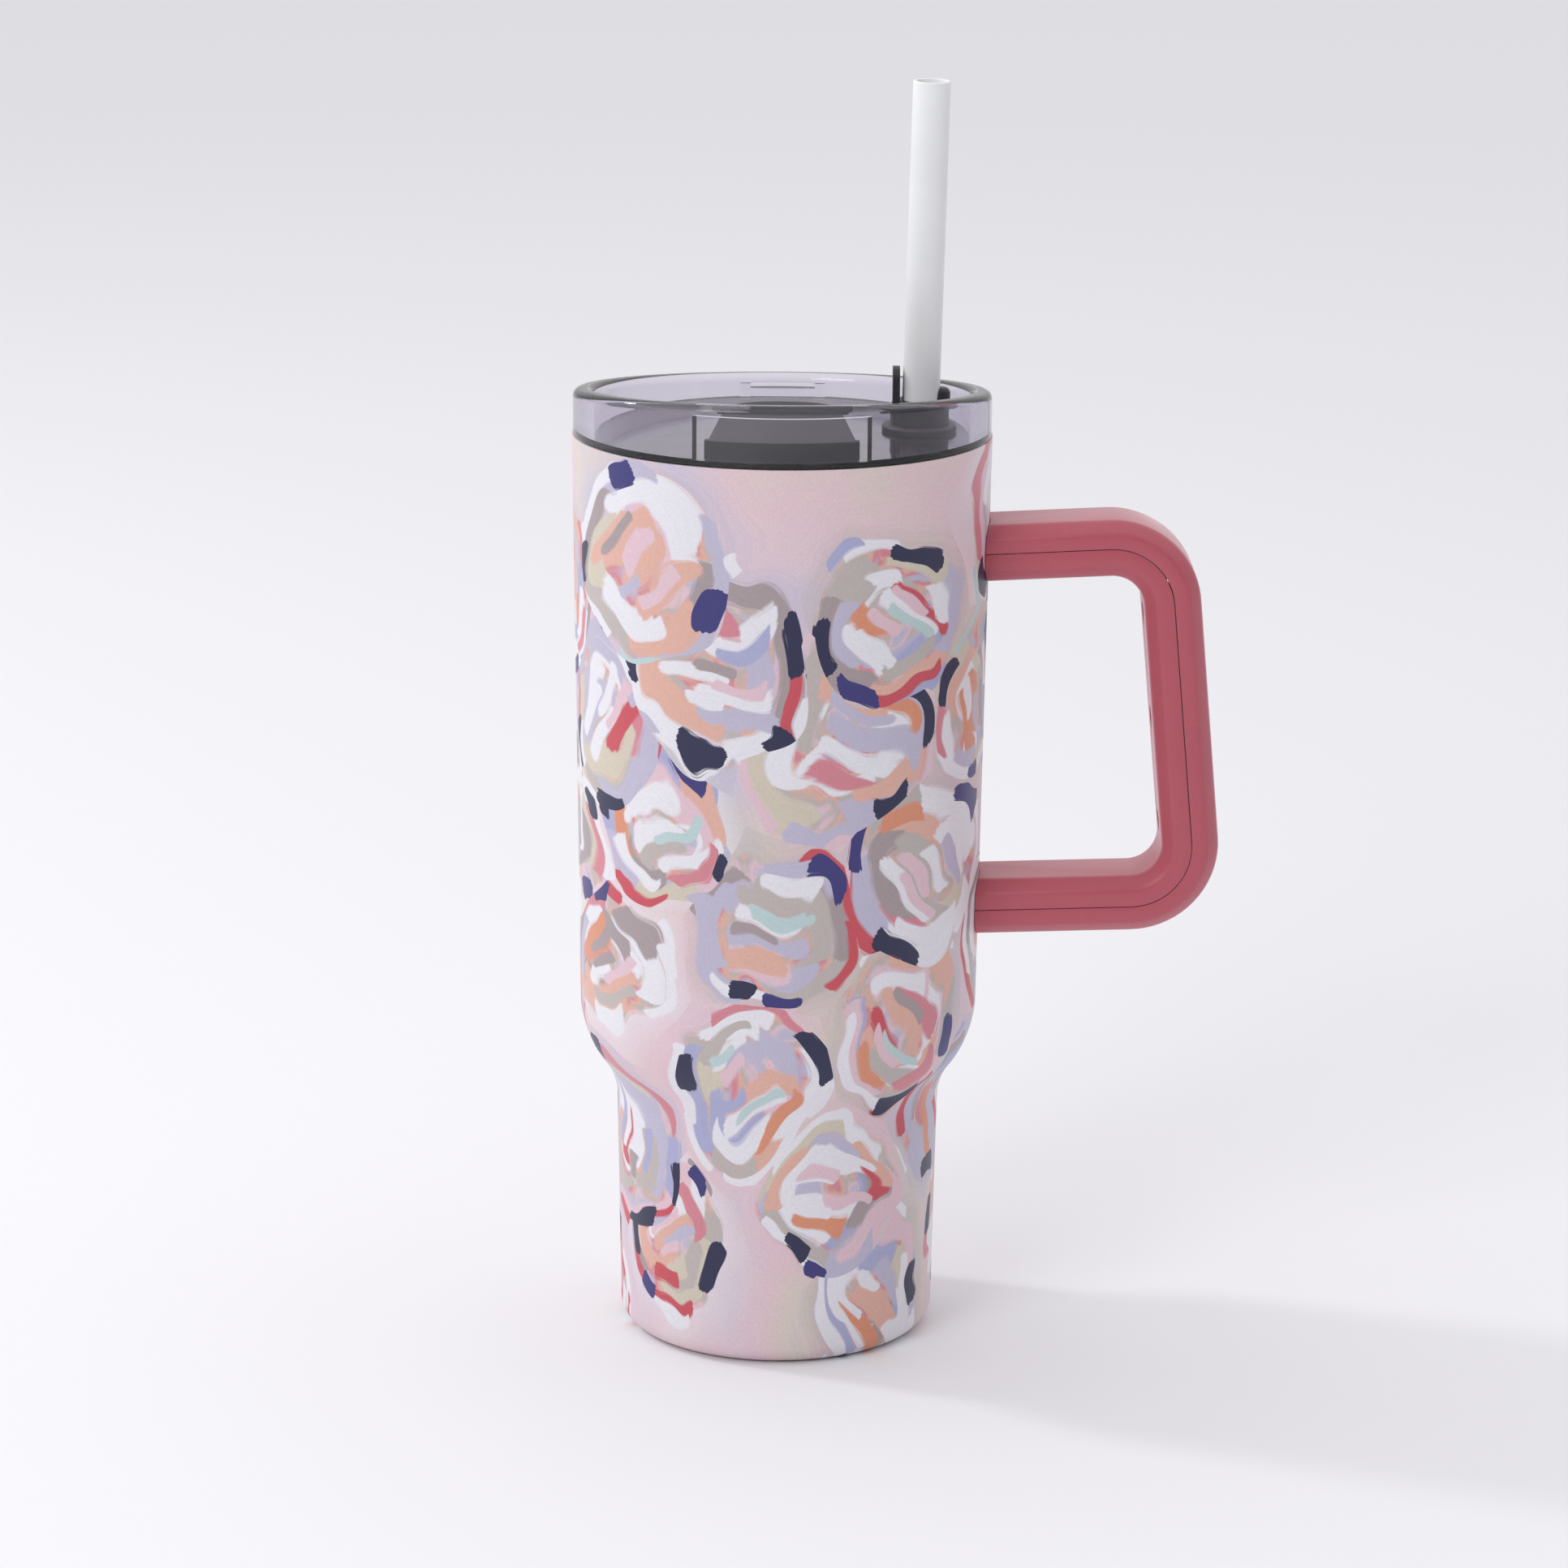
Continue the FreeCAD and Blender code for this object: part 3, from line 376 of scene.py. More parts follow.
def bloom_places(count):
    """Where each bloom sits: angle, height and radius, spread evenly up a spiral."""
    draw = random.Random(4)
    low, high = 14 * MM, MOUTH - 8 * MM
    for i in range(count):
        yield (
            (i * GOLDEN_TURN + draw.uniform(-0.16, 0.16)) % math.tau,
            low + (high - low) * (i + 0.5) / count + draw.uniform(-7, 7) * MM,
            draw.uniform(20.0, 25.0) * MM,
        )


def nearest_bloom(look, spot, count):
    """Each point's place in its own bloom's circle, with the bloom's number."""
    round_wall = math.pi * RIM
    group = Group("bloom", {"spot": "Vector", "local": "Vector", "best": "Float", "middle": "Vector",
                            "size": "Float", "number": "Float"}, {"local": "Vector", "best": "Float"})
    take = group.takes
    away = group.vector("SUBTRACT", take["spot"], take["middle"])
    away = group.vector("WRAP", away, (round_wall, 1, 1), (-round_wall, -1, -1))
    away = group.vector("SCALE", away, take["size"])
    reach = group.math("MAXIMUM", group.vector("LENGTH", away), 1.0)
    closer = group.math("LESS_THAN", reach, group.math("ADD", take["best"], 1e-4))
    tagged = group.vector("ADD", away, group.join(0.0, 0.0, take["number"]))
    group.give(local=group.swap(closer, take["local"], tagged),
               best=group.math("MINIMUM", take["best"], reach))
    local, best = (0.0, 0.0, 0.0), 9.0
    for number, (angle, height, radius) in enumerate(bloom_places(count)):
        local, best = look.call(group, spot=spot, local=local, best=best, size=1 / radius, number=number,
                                middle=((angle - math.pi) * RIM, height, 0))
    return local


def stroke_group():
    """One dab with frayed ends: how much it covers, and its draw of paint."""
    group = Group("stroke", {
        "seed": "Float", "number": "Float", "across": "Float", "along": "Float",
        "streak": "Float", "half_width": "Float", "half_length": "Float", "share": "Float",
        "crisp": "Float", "bristle": "Float",
    }, {"laid": "Float", "paint": "Float"})
    take = group.takes
    _, length, pick, there = group.draws(take["seed"], take["number"])
    length = group.math("MULTIPLY", group.band(length, 0.0, 1.0, 0.55, 1.35), take["half_length"])
    past = group.math("SUBTRACT", group.math("ABSOLUTE", take["along"]), length)
    past = group.math("MULTIPLY", group.math("MAXIMUM", past, 0.0), 1.5)
    near = group.vector("LENGTH", group.join(take["across"], past, 0.0))
    near = group.math("DIVIDE", near, take["half_width"])
    near = group.math("MULTIPLY_ADD", take["streak"], take["bristle"], near)
    laid = group.band(near, take["crisp"], 1.0, 1.0, 0.0)
    there = group.math("LESS_THAN", there, take["share"])
    group.give(laid=group.math("MULTIPLY", laid, there), paint=pick)
    return group


def arc_group():
    """A point's place along and across an arc round the bloom."""
    group = Group("arc", {
        "seed": "Float", "number": "Float", "ring": "Float", "turn": "Float", "bearing": "Float",
        "sway": "Float", "out_at": "Float",
    }, {"across": "Float", "along": "Float"})
    take = group.takes
    way, _, _, nudge = group.draws(take["seed"], take["number"])
    bearing = group.math("MULTIPLY_ADD", way, take["sway"], take["bearing"])
    along = group.math("WRAP", group.math("SUBTRACT", take["turn"], bearing), math.pi, -math.pi)
    across = group.math("SUBTRACT", take["ring"], take["out_at"])
    across = group.math("ADD", across, group.band(nudge, 0.0, 1.0, -0.07, 0.07))
    group.give(across=across, along=group.math("MULTIPLY", along, take["ring"]))
    return group


def row_group():
    """A point's place along and across a straight stroke over the bloom."""
    group = Group("row", {
        "seed": "Float", "number": "Float", "px": "Float", "py": "Float", "middle": "Float",
    }, {"across": "Float", "along": "Float"})
    take = group.takes
    shift, lift, _, _ = group.draws(take["seed"], take["number"])
    across = group.math("SUBTRACT", group.math("SUBTRACT", take["px"], take["middle"]),
                        group.band(shift, 0.0, 1.0, -0.08, 0.08))
    along = group.math("SUBTRACT", take["py"], group.band(lift, 0.0, 1.0, -0.3, 0.3))
    group.give(across=across, along=along)
    return group


def print_finish(count):
    """Powder-coated steel with a printed wash and brush-stroke blooms."""
    look = Finish("printed_steel", roughness=0.42, coat_weight=0.12, coat_roughness=0.3,
                  specular_ior_level=0.45)
    x, y, z = look.split(look.place)[:3]
    around = look.math("MULTIPLY", look.math("ARCTAN2", y, x), RIM)
    spot = look.vector("MULTIPLY_ADD", look.drift(look.place, DRIFT_SCALE, 0.0), (DRIFT, DRIFT, 0),
                       look.join(around, z, 0.0))
    here = look.split(nearest_bloom(look, spot, count))
    # Every bloom has its own turn, a bend of its own, and its own draws
    seed = look.math("ROUND", here[2])
    spin = look.add("ShaderNodeVectorRotate", rotation_type="Z_AXIS")
    look.set(spin, "Vector", look.join(here[0], here[1], 0.0))
    look.set(spin, "Angle", look.math("MULTIPLY", seed, 2.4))
    petal = spin.outputs[0]
    own = look.join(0.0, 0.0, seed)
    bend = look.drift(look.vector("MULTIPLY_ADD", petal, (BEND_SCALE, BEND_SCALE, 0), own), 1.0, 1.0)
    petal = look.vector("MULTIPLY_ADD", bend, (BEND, BEND, 0), petal)
    px, py = look.split(petal)[:2]
    ring = look.vector("LENGTH", look.join(px, py, 0.0))
    turn = look.math("ARCTAN2", py, px)
    # Bristle streaks run along the strokes
    def streaks(across, along, stretch):
        """Fine lines that run one way across the bloom."""
        place = look.join(look.math("MULTIPLY", across, BRISTLES), look.math("MULTIPLY", along, stretch),
                          seed)
        return look.math("SUBTRACT", look.noise(place, 1.0, 2.5, 0.6), 0.5)

    round_streak = streaks(ring, turn, 1.2)
    long_streak = streaks(px, py, 2.0)
    stroke, arc, row = stroke_group(), arc_group(), row_group()

    def lay(colour, number, place, streak, reach, paints, share=1.0, crisp=0.7, bristle=0.9):
        """Lay one stroke over the colour."""
        across, along = place
        laid, pick = look.call(stroke, seed=seed, number=number, across=across, along=along, streak=streak,
                               half_width=reach[0], half_length=reach[1], share=share, crisp=crisp,
                               bristle=bristle)
        return look.mix(laid, colour, look.ramp(pick, paints, steps=True))

    def arcs(colour, first, many, out_at, reach, paints, **manner):
        """Strokes that follow each other round the bloom."""
        for i in range(many):
            place = look.call(arc, seed=seed, number=first + i, ring=ring, turn=turn,
                              bearing=i * math.tau / many, sway=1.1 * math.tau / many, out_at=out_at)
            colour = lay(colour, first + i, place, round_streak, reach, paints, **manner)
        return colour

    def rows(colour, first, many, spread, reach, paints, **manner):
        """Strokes that lie side by side across the bloom."""
        for i in range(many):
            place = look.call(row, seed=seed, number=first + i, px=px, py=py,
                              middle=spread * (2 * (i + 0.5) / many - 1))
            colour = lay(colour, first + i, place, long_streak, reach, paints, **manner)
        return colour

    # Wash of wide, soft brush marks
    brushed = look.vector("MULTIPLY", look.place, (1.0, 1.0, 0.55))
    wash = look.ramp(look.band(look.noise(brushed, 24, 3.0, 0.5), 0.30, 0.70),
                     [paint(206, 202, 222), paint(228, 208, 218), paint(234, 206, 212),
                      paint(226, 214, 204), paint(212, 206, 222)])
    fade = look.band(look.math("MULTIPLY_ADD", round_streak, 0.25, ring), 1.0, 1.35, 0.5, 0.0)
    halo = look.ramp(look.draws(seed, 90.0)[0], [BLUSH, WHITE, LAVENDER, WHITE, STONE], steps=True)
    wash = look.mix(fade, wash, halo)
    # A bloom's ground, then its strokes from the back to the front
    muted = [LAVENDER, PEACH, WHITE, STONE, BLUSH, ROSE, LAVENDER, TAUPE, WHITE, PERIWINKLE, CREAM]
    warm = [PEACH, WHITE, CORAL, WHITE, ORANGE, ROSE, LAVENDER, PEACH, STONE, WHITE]
    cool = [WHITE, LAVENDER, PERIWINKLE, WHITE, MINT, WHITE, TAUPE, BLUSH]
    ground = look.ramp(look.band(look.noise(look.vector("ADD", petal, own), 2.2, 2.0),
                                 0.32, 0.68), [LAVENDER, BLUSH, STONE, PEACH, ROSE, LAVENDER])
    inside = look.band(look.math("MULTIPLY_ADD", round_streak, 0.12, ring), 0.90, 1.0, 1.0, 0.0)
    colour = look.mix(inside, wash, ground)
    colour = arcs(colour, 1, 6, 0.84, (0.16, 0.50), muted)
    colour = arcs(colour, 11, 5, 0.55, (0.16, 0.40), muted[::-1])
    colour = rows(colour, 21, 4, 0.50, (0.14, 0.34), warm)
    colour = arcs(colour, 31, 3, 0.94, (0.08, 0.62), [CORAL, ROSE, WHITE, CORAL, LAVENDER, WHITE],
                  share=0.8)
    colour = arcs(colour, 41, 3, 0.66, (0.11, 0.36), warm[::-1], share=0.85)
    colour = rows(colour, 51, 4, 0.42, (0.085, 0.26), cool, share=0.85)
    colour = arcs(colour, 61, 2, 1.04, (0.06, 0.42), cool, share=0.8)
    colour = arcs(colour, 71, 4, 0.90, (0.115, 0.20), [NAVY, NAVY, INDIGO], share=0.72, crisp=0.9,
                  bristle=1.1)
    # Streaks and powder grain vary the value a little
    fine = look.noise(look.place, 2600, 1.0)
    value = look.math("MULTIPLY_ADD", look.math("SUBTRACT", fine, 0.5), 0.22,
                      look.math("MULTIPLY_ADD", round_streak, 0.10, 1.0))
    look.set(look.shader, "Base Color", look.vector("SCALE", colour, value))
    look.bump(look.noise(look.place, 1500, 2.0), 0.05 * MM, 0.35)
    return look.material


def plain_finish(name, colour, vary=0.08, scale=700, depth=0.02, **sockets):
    """An even finish with slight mottling and a fine surface grain."""
    look = Finish(name, **sockets)
    cloud = look.noise(look.place, scale / 12, 3.0)
    shade = look.math("MULTIPLY_ADD", look.math("SUBTRACT", cloud, 0.5), vary * 2, 1.0)
    look.set(look.shader, "Base Color", look.vector("SCALE", colour, shade))
    look.bump(look.noise(look.place, scale, 3.0), depth * MM, 0.5)
    return look.material


def steel_finish(name, colour, rough):
    """Turned steel, with fine rings round the axis."""
    look = Finish(name, metallic=1.0, roughness=rough)
    x, y, z = look.split(look.place)[:3]
    out = look.vector("LENGTH", look.join(x, y, 0.0))
    rings = look.noise(look.join(look.math("MULTIPLY", out, 6000.0), 0.0, look.math("MULTIPLY", z, 6000.0)),
                       1.0, 2.0)
    shade = look.math("MULTIPLY_ADD", look.math("SUBTRACT", rings, 0.5), 0.2, 1.0)
    look.set(look.shader, "Base Color", look.vector("SCALE", colour, shade))
    look.bump(rings, 0.01 * MM, 0.4)
    return look.material


def dress_node(node, material):
    """Give a CAD node its finish."""
    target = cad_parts[node]
    target.data.materials.clear()
    target.data.materials.append(material)


# Operators

FLOOR_SIZE = 30
FLOOR_PAPER = paint(242, 242, 245)
# World light along its lean: dim behind the camera, bright overhead and behind the piece
LEAN_TO_BACK = 0.42
DIM, BRIGHT, BRIGHT_FROM = (0.11, 0.105, 0.125, 1), (1.0, 0.995, 1.01, 1), 0.75
# Each lamp's place, target, energy and size
LAMPS = {
    "key": ((-1.5, 0.55, 1.25), (0, 0, 0.1), 7.8, 0.22),
    "front_fill": ((-0.9, -1.3, 1.0), (0, 0, 0.12), 8, 0.9),
}
CAMERA_PLACE = (0.00108, -1.1924, 0.4398)
CAMERA_TILT, CAMERA_ROLL = math.radians(90) - 0.2484, 0.00772
CAMERA_LENS = 115


class BuildStage(bpy.types.Operator):
    """Pale floor, soft lights and the camera"""
    bl_idname = "tumbler.stage"
    bl_label = "Stage"

    def execute(self, context):
        scene = context.scene
        start()
        bpy.ops.mesh.primitive_plane_add(size=FLOOR_SIZE, location=(0, 0, 0))
        floor = context.object
        floor.name = "floor"
        look = Finish("floor_paper", roughness=0.9, specular_ior_level=0.1)
        look.set(look.shader, "Base Color", FLOOR_PAPER)
        floor.data.materials.append(look.material)

        world = bpy.data.worlds.new("studio")
        world.use_nodes = True
        tree = world.node_tree
        sky = tree.nodes["Background"]
        sky.inputs["Strength"].default_value = 1.0
        place = tree.nodes.new("ShaderNodeTexCoord")
        height = tree.nodes.new("ShaderNodeSeparateXYZ")
        tree.links.new(place.outputs["Generated"], height.inputs[0])
        lean = tree.nodes.new("ShaderNodeMath")
        lean.operation = "MULTIPLY_ADD"
        tree.links.new(height.outputs[1], lean.inputs[0])
        lean.inputs[1].default_value = LEAN_TO_BACK
        tree.links.new(height.outputs[2], lean.inputs[2])
        shade = tree.nodes.new("ShaderNodeValToRGB")
        shade.color_ramp.elements[0].position = 0.0
        shade.color_ramp.elements[0].color = DIM
        shade.color_ramp.elements[1].position = BRIGHT_FROM
        shade.color_ramp.elements[1].color = BRIGHT
        tree.links.new(lean.outputs[0], shade.inputs[0])
        tree.links.new(shade.outputs[0], sky.inputs["Color"])
        scene.world = world

        for name, (place, target, energy, spread) in LAMPS.items():
            data = bpy.data.lights.new(name, "AREA")
            data.energy = energy
            data.shape = "DISK"
            data.size = spread
            light = bpy.data.objects.new(name, data)
            light.location = place
            light.rotation_euler = (Vector(place) - Vector(target)).to_track_quat("Z", "Y").to_euler()
            scene.collection.objects.link(light)

        camera = bpy.data.objects.new("camera", bpy.data.cameras.new("camera"))
        camera.data.lens = CAMERA_LENS
        camera.data.clip_start, camera.data.clip_end = 0.05, 50
        camera.matrix_world = (
            Matrix.Translation(CAMERA_PLACE)
            @ Matrix.Rotation(CAMERA_TILT, 4, "X")
            @ Matrix.Rotation(CAMERA_ROLL, 4, "Z")
        )
        scene.collection.objects.link(camera)
        scene.camera = camera
        scene.view_settings.view_transform = "Standard"
        return {"FINISHED"}


SEAT_RADIUS = 31.0 * MM
WALL_SIDES = 160


class BuildWall(bpy.types.Operator):
    """Outer wall of the tumbler, with its print"""
    bl_idname = "tumbler.wall"
    bl_label = "Printed wall"

    def execute(self, context):
        size = sizes()
        start()
        bpy.ops.mesh.primitive_circle_add(vertices=WALL_SIDES, radius=SEAT_RADIUS, location=(0, 0, 0))
        wall = context.object
        edit()
        bpy.ops.mesh.select_all(action="SELECT")
        radius = SEAT_RADIUS
        rings = [(size.foot_radius, 0), (size.waist_radius, size.waist_height),
                 (size.shoulder_radius, size.shoulder_height - size.waist_height),
                 (RIM, MOUTH - size.shoulder_height)]
        for wider, rise in rings:
            bpy.ops.mesh.extrude_region_move(TRANSFORM_OT_translate={"value": (0, 0, rise)})
            bpy.ops.transform.resize(value=(wider / radius, wider / radius, 1), center_override=(0, 0, 0))
            radius = wider
        # Each corner: its height and radius, how far its round reaches along the wall, and its steps
        corners = ((size.shoulder_height, size.shoulder_radius, 7.4, 14),
                   (size.waist_height, size.waist_radius, 5.1, 12),
                   (0, size.foot_radius, 5.3, 10))
        for height, corner, reach, segments in corners:
            pick(lambda item, here: abs(here.z - height) < 1e-6
                 and all(abs(v.co.xy.length - corner) < 2e-5 and abs(v.co.z - height) < 1e-6
                         for v in item.verts), "edges")
            bpy.ops.mesh.bevel(offset=reach * MM, segments=segments, affect="EDGES")
        bpy.ops.object.mode_set(mode="OBJECT")
        clean(wall)
        modifier(wall, "SOLIDIFY", thickness=size.wall, offset=-1.0, use_even_offset=True)
        settle(wall, "printed_wall", "tumbler", "painted_steel", print_finish(size.blooms), "outer_shell",
               angle=40)
        return {"FINISHED"}


class BuildNodes(bpy.types.Operator):
    """Finishes for the pieces that keep their CAD shape"""
    bl_idname = "tumbler.nodes"
    bl_label = "Steel and fixings"

    def execute(self, context):
        dark = colours().dark
        steel = steel_finish("brushed_steel", (0.46, 0.46, 0.47), 0.28)
        for node in ("inner_liner", "outer_base", "base_cover", "upper_bracket", "lower_bracket"):
            dress_node(node, steel)
        screws = steel_finish("screw_steel", (0.45, 0.45, 0.47), 0.35)
        for node in ("bracket_screws", "grip_screws"):
            dress_node(node, screws)
        dress_node("copper_foil", plain_finish("copper_foil", (0.75, 0.36, 0.22), 0.1, 500, 0.05,
                                               metallic=1.0, roughness=0.3))
        dress_node("vacuum_seal", plain_finish("sealing_glass", (0.10, 0.12, 0.11), roughness=0.15))
        dress_node("getter", plain_finish("getter_metal", (0.06, 0.06, 0.065), 0.2, roughness=0.8))
        rubber = plain_finish("dark_silicone", tuple(dark), 0.1, 1500, 0.02, roughness=0.45)
        for node in ("lid_gasket", "straw_grommet", "slider_seal"):
            dress_node(node, rubber)
        gloss = plain_finish("slider_plastic", tuple(dark), 0.06, 1800, 0.004, roughness=0.5,
                              specular_ior_level=0.15)
        for node in ("slider", "slider_retainer"):
            dress_node(node, gloss)
        return {"FINISHED"}


LID_HAZE, LID_DENSITY = (0.57, 0.52, 0.62), 90.0


class BuildLid(bpy.types.Operator):
    """Clear lid"""
    bl_idname = "tumbler.lid"
    bl_label = "Clear lid"

    def execute(self, context):
        look = Finish("clear_plastic", base_color=tuple(colours().lid), roughness=0.015, ior=1.49,
                      transmission_weight=1.0)
        haze = look.add("ShaderNodeVolumeAbsorption")
        look.set(haze, "Color", LID_HAZE)
        look.set(haze, "Density", LID_DENSITY)
        look.tree.links.new(haze.outputs[0], look.out.inputs["Volume"])
        look.bump(look.noise(look.place, 220, 1.0), 0.01 * MM, 0.3)
        dress_node("lid_shell", look.material)
        return {"FINISHED"}


# The seam between the handle's two shells: where it starts, turns and ends
SEAM = [Vector((40, 0, 197)) * MM, Vector((93.6, 0, 199.7)) * MM,
        Vector((102.2, 0, 110.4)) * MM, Vector((40, 0, 108.4)) * MM]
SEAM_ROUND = 15 * MM
SEAM_GAP = 0.12 * MM
HANDLE_WIDTH = 23 * MM
OUTER_DEPTH, INNER_DEPTH = 6.7 * MM, 7.2 * MM
CHAMFER = 3 * MM
SMALL_ROUND = 0.8 * MM
EDGE_ROUND = 0.32 * MM
TURN_STEPS = 18
WALL_GAP = 0.15 * MM
SCREW_X = 59 * MM
GRIP_PITCH = 26 * MM
BRACKET_SCREW, GRIP_SCREW = 2 * MM, 1.5 * MM
SCREW_FIT = 0.15 * MM
HEAD_RATIO, BOSS_RATIO = 1.8, 2.4
HEAD_SEAT = 4.5 * MM
BOSS_INSET = 0.6 * MM


def carve(piece, tool, operation="DIFFERENCE"):
    """Cut or join a piece with a tool, which is then removed."""
    modifier(piece, "BOOLEAN", operation=operation, object=tool, solver="MANIFOLD")
    bpy.data.objects.remove(tool)


def rod(place, axis, radius, length, vertices=40):
    """A round tool centred at a place, along X or Z."""
    start()
    turned = (0, math.pi / 2, 0) if axis == "X" else (0, 0, 0)
    bpy.ops.mesh.primitive_cylinder_add(vertices=vertices, radius=radius, depth=length, location=place,
                                        rotation=turned)
    bpy.ops.object.transform_apply(location=True, rotation=True, scale=True)
    return bpy.context.object


def sink_screw(piece, face, axis, inwards, radius, depth):
    """A boss inside the shell, with a hole and a sunk seat for a screw's head."""
    way = Vector((1, 0, 0)) if axis == "X" else Vector((0, 0, 1))
    boss = face + way * inwards * (depth / 2 + BOSS_INSET)
    carve(piece, rod(boss, axis, radius * BOSS_RATIO, depth - 2 * BOSS_INSET), "UNION")
    carve(piece, rod(face, axis, radius + SCREW_FIT, depth * 3))
    carve(piece, rod(face, axis, radius * HEAD_RATIO + SCREW_FIT, HEAD_SEAT))


def handle_shell(depth, side):
    """One half of the handle: its open section pulled along the seam, given a wall, and cut to fit."""
    start()
    size = sizes()
    near = SEAM[0].z + side * SEAM_GAP
    middle = SEAM[0] + Vector((0, 0, side * (depth + SEAM_GAP) / 2))
    bpy.ops.mesh.primitive_plane_add(size=1, location=middle, rotation=(0, math.pi / 2, 0))
    shell = bpy.context.object
    shell.scale = (depth - SEAM_GAP, HANDLE_WIDTH, 1)
    bpy.ops.object.transform_apply(location=True, rotation=True, scale=True)
    far = SEAM[0].z + side * depth
    edit()
    pick(lambda item, here: abs(here.z - far) < 1e-6)
    bpy.ops.mesh.bevel(offset=CHAMFER, segments=1, affect="VERTICES")
    pick(lambda item, here: abs(here.z - near) > 1e-6)
    bpy.ops.mesh.bevel(offset=SMALL_ROUND, segments=3, affect="VERTICES")
    bpy.ops.mesh.select_all(action="SELECT")
    bpy.ops.mesh.delete(type="ONLY_FACE")
    bpy.ops.mesh.select_mode(type="EDGE")
    pick(lambda item, here: abs(here.z - near) < 1e-6 and abs(here.y) < 1e-6, "edges")
    bpy.ops.mesh.delete(type="EDGE")
    bpy.ops.mesh.select_all(action="SELECT")
    here = SEAM[0].copy()
    for before, corner, after in zip(SEAM, SEAM[1:], SEAM[2:]):
        along, onward = (corner - before).normalized(), (after - corner).normalized()
        turn = along.angle(onward)
        reach = SEAM_ROUND * math.tan(turn / 2)
        run = corner - along * reach - here
        bpy.ops.mesh.extrude_region_move(TRANSFORM_OT_translate={"value": run})
        centre = here + run + along.cross(Vector((0, 1, 0))) * -SEAM_ROUND
        bpy.ops.mesh.spin(steps=TURN_STEPS, angle=-turn, center=centre, axis=(0, 1, 0))
        here = corner + onward * reach
    bpy.ops.mesh.extrude_region_move(TRANSFORM_OT_translate={"value": SEAM[-1] - here})
    bpy.ops.object.mode_set(mode="OBJECT")
    clean(shell)
    top = max(shell.data.polygons, key=lambda face: side * face.center.z)
    if top.normal.z * side < 0:
        edit()
        bpy.ops.mesh.select_all(action="SELECT")
        bpy.ops.mesh.flip_normals()
        bpy.ops.object.mode_set(mode="OBJECT")
    modifier(shell, "SOLIDIFY", thickness=size.handle_wall, offset=-1.0, use_even_offset=True)
    start()
    low = size.shoulder_height
    bpy.ops.mesh.primitive_cone_add(vertices=WALL_SIDES, radius1=size.shoulder_radius + WALL_GAP,
                                    radius2=RIM + WALL_GAP, depth=MOUTH - low,
                                    location=(0, 0, (MOUTH + low) / 2))
    carve(shell, bpy.context.object)
    return shell


class BuildHandle(bpy.types.Operator):
    """Both shells of the handle, with their screw seats"""
    bl_idname = "tumbler.handle"
    bl_label = "Handle"

    def execute(self, context):
        material = handle_finish()
        arms = [(a.z + (SCREW_X - a.x) * (b.z - a.z) / (b.x - a.x))
                for a, b in ((SEAM[0], SEAM[1]), (SEAM[3], SEAM[2]))]
        shells = (
            ("outer", OUTER_DEPTH, 1, arms[1]),
            ("inner", INNER_DEPTH, -1, arms[0]),
        )
        for name, depth, side, arm in shells:
            shell = handle_shell(depth, side)
            sink_screw(shell, Vector((SCREW_X, 0, arm - depth)), "Z", 1, BRACKET_SCREW, depth)
            if side < 0:
                grip = SEAM[2] - SEAM[1]
                for step in (-1, 0, 1):
                    seat = (SEAM[1] + SEAM[2]) / 2 - grip * (step * GRIP_PITCH / grip.z)
                    seat.x -= depth
                    sink_screw(shell, seat, "X", 1, GRIP_SCREW, depth)
            modifier(shell, "BEVEL", width=EDGE_ROUND, segments=2, limit_method="ANGLE",
                     angle_limit=math.radians(55))
            settle(shell, f"handle_{name}", "tumbler", "handle_plastic", material,
                   f"handle_{name}_shell", angle=35)
        return {"FINISHED"}


def handle_finish():
    """Satin moulded plastic with a fine spark-eroded grain."""
    look = Finish("handle_plastic", roughness=0.42, specular_ior_level=0.6, sheen_weight=0.9,
                  sheen_roughness=0.4, sheen_tint=(1.0, 0.82, 0.86))
    speck = look.noise(look.place, 2400, 2.0)
    cloud = look.noise(look.place, 30, 2.0)
    shade = look.math("MULTIPLY_ADD", look.math("SUBTRACT", speck, 0.5), 0.18,
                      look.math("MULTIPLY_ADD", look.math("SUBTRACT", cloud, 0.5), 0.08, 1.0))
    look.set(look.shader, "Base Color", look.vector("SCALE", tuple(colours().handle), shade))
    look.bump(look.noise(look.place, 2000, 3.0), 0.06 * MM, 0.6)
    return look.material


STRAW_AXIS = Vector((0.019846, -0.033149, 0.999254))
STRAW_CROSSING = Vector((33.2, 0, 226.1)) * MM
STRAW_ABOVE, STRAW_BELOW = 84 * MM, 210.457 * MM
STRAW_RADIUS = 4.5 * MM
STRAW_LIP = 0.3 * MM


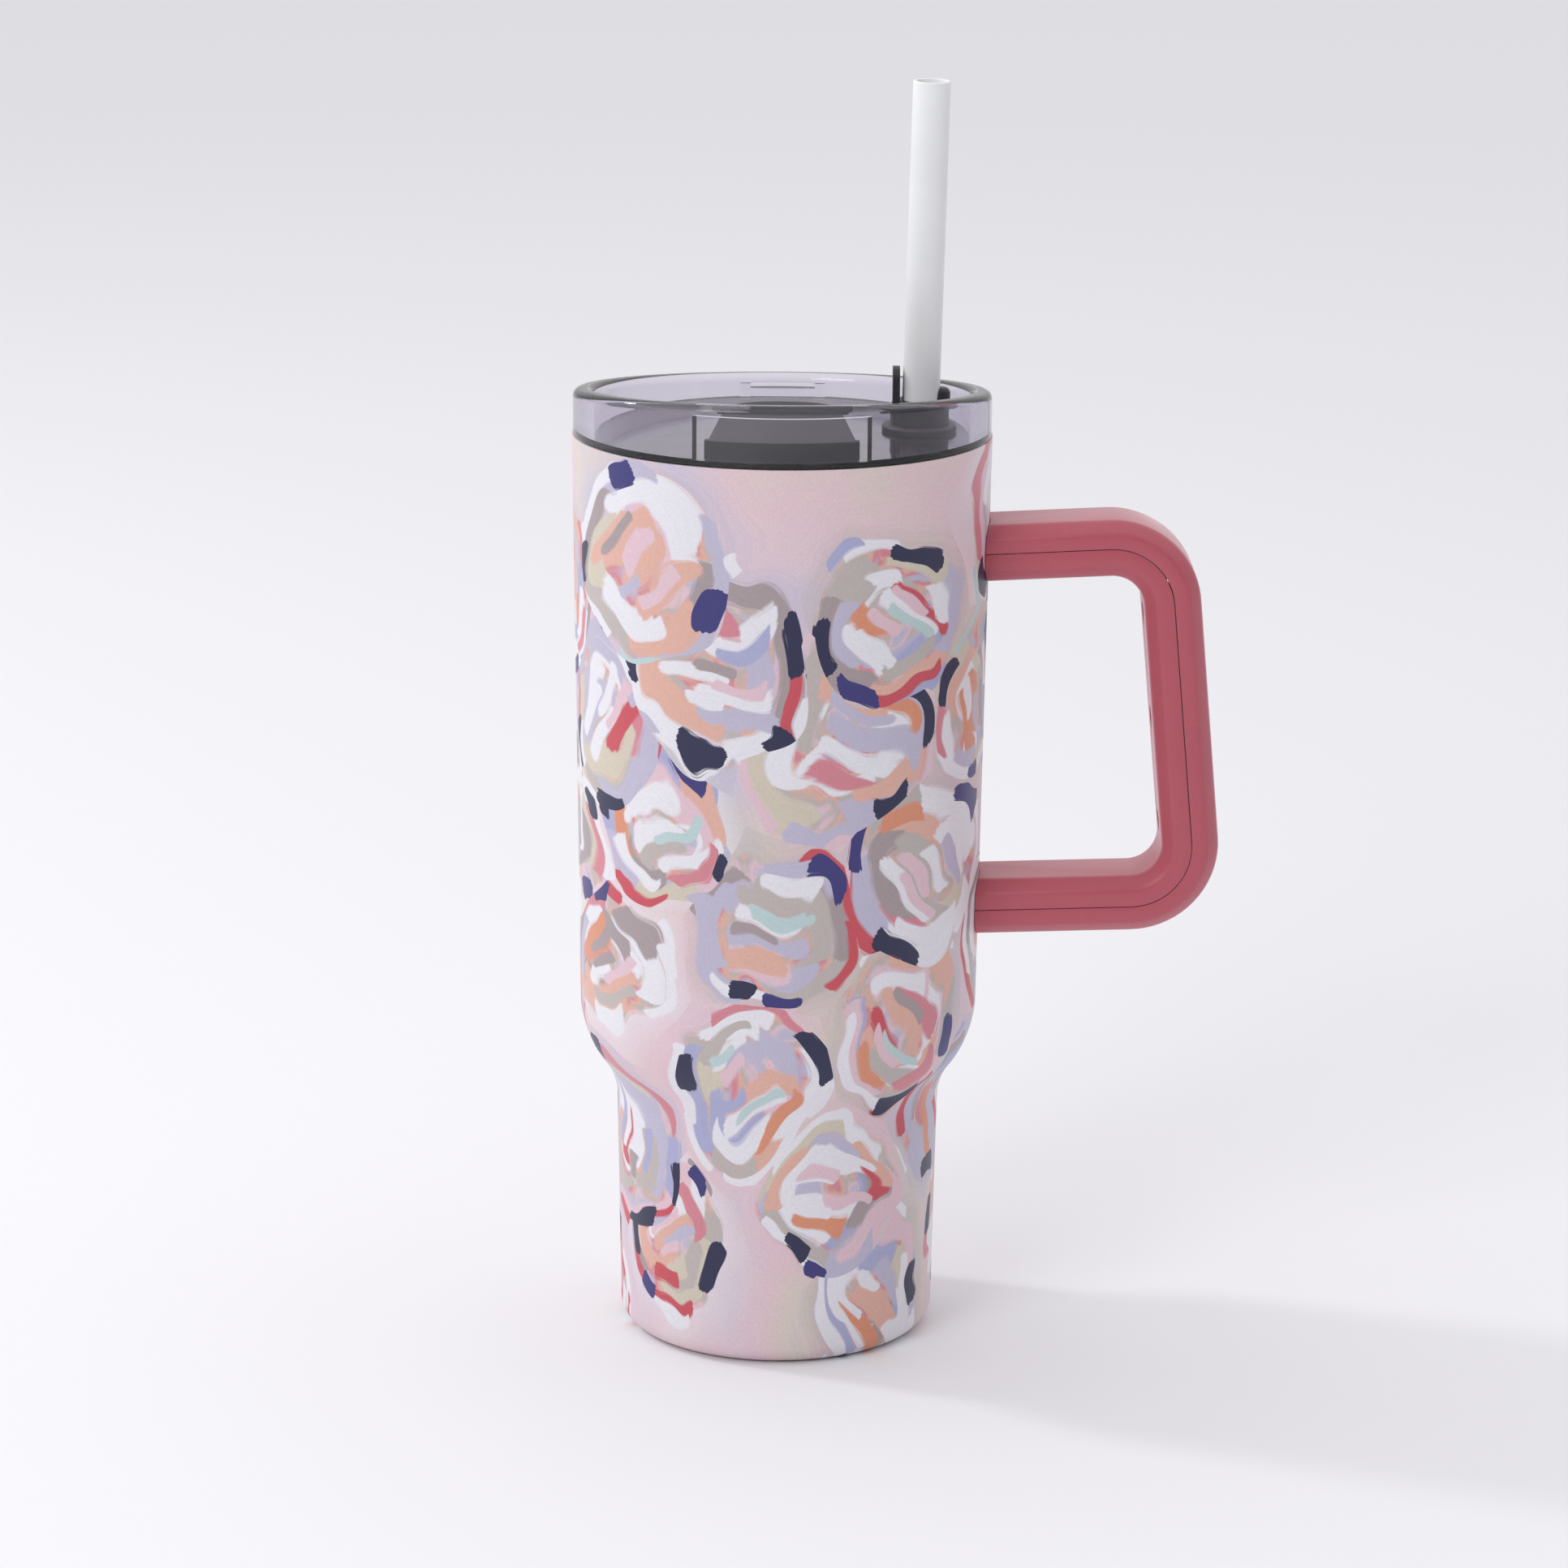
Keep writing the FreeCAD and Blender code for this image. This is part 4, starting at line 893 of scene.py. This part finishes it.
class BuildStraw(bpy.types.Operator):
    """Frosted straw"""
    bl_idname = "tumbler.straw"
    bl_label = "Straw"

    def execute(self, context):
        start()
        length = STRAW_ABOVE + STRAW_BELOW
        turned = STRAW_AXIS.to_track_quat("Z", "Y")
        middle = STRAW_CROSSING + STRAW_AXIS * (length / 2 - STRAW_BELOW)
        bpy.ops.mesh.primitive_cylinder_add(vertices=72, radius=STRAW_RADIUS, depth=length, location=middle,
                                            rotation=turned.to_euler(), end_fill_type="NOTHING")
        straw = context.object
        bpy.ops.object.transform_apply(location=True, rotation=True, scale=True)
        clean(straw)
        modifier(straw, "SOLIDIFY", thickness=sizes().straw_wall, offset=-1.0)
        modifier(straw, "BEVEL", width=STRAW_LIP, segments=3, limit_method="ANGLE",
                 angle_limit=math.radians(60))
        look = Finish("frosted_straw", base_color=tuple(colours().straw), roughness=0.38, ior=1.45,
                      transmission_weight=0.05)
        cloud = look.noise(look.place, 60, 2.0)
        look.set(look.shader, "Base Color",
                 look.vector("SCALE", tuple(colours().straw), look.band(cloud, 0.3, 0.7, 0.97, 1.03)))
        look.bump(look.noise(look.place, 900, 3.0), 0.02 * MM, 0.5)
        settle(straw, "straw_tube", "straw", "straw_plastic", look.material, "straw")
        return {"FINISHED"}


class TumblerPanel(bpy.types.Panel):
    """Lists the pieces, their sizes and their colours"""
    bl_idname = "VIEW3D_PT_tumbler"
    bl_label = "Tumbler"
    bl_space_type = "VIEW_3D"
    bl_region_type = "UI"
    bl_category = "Tumbler"

    def draw(self, context):
        for group in (context.scene.tumbler_sizes, context.scene.tumbler_colours):
            box = self.layout.box()
            for name in group.__annotations__:
                box.prop(group, name)
        for step in STEPS:
            self.layout.operator(step.bl_idname)


STEPS = (BuildStage, BuildWall, BuildNodes, BuildLid, BuildHandle, BuildStraw)
CLASSES = (TumblerSizes, TumblerColours, *STEPS, TumblerPanel)


def register():
    for item in CLASSES:
        bpy.utils.register_class(item)
    bpy.types.Scene.tumbler_sizes = PointerProperty(type=TumblerSizes)
    bpy.types.Scene.tumbler_colours = PointerProperty(type=TumblerColours)


def unregister():
    del bpy.types.Scene.tumbler_colours
    del bpy.types.Scene.tumbler_sizes
    for item in reversed(CLASSES):
        bpy.utils.unregister_class(item)


def main():
    register()
    bpy.ops.tumbler.stage()
    bpy.ops.tumbler.wall()
    bpy.ops.tumbler.nodes()
    bpy.ops.tumbler.lid()
    bpy.ops.tumbler.handle()
    bpy.ops.tumbler.straw()


if __name__ == "__main__":
    main()
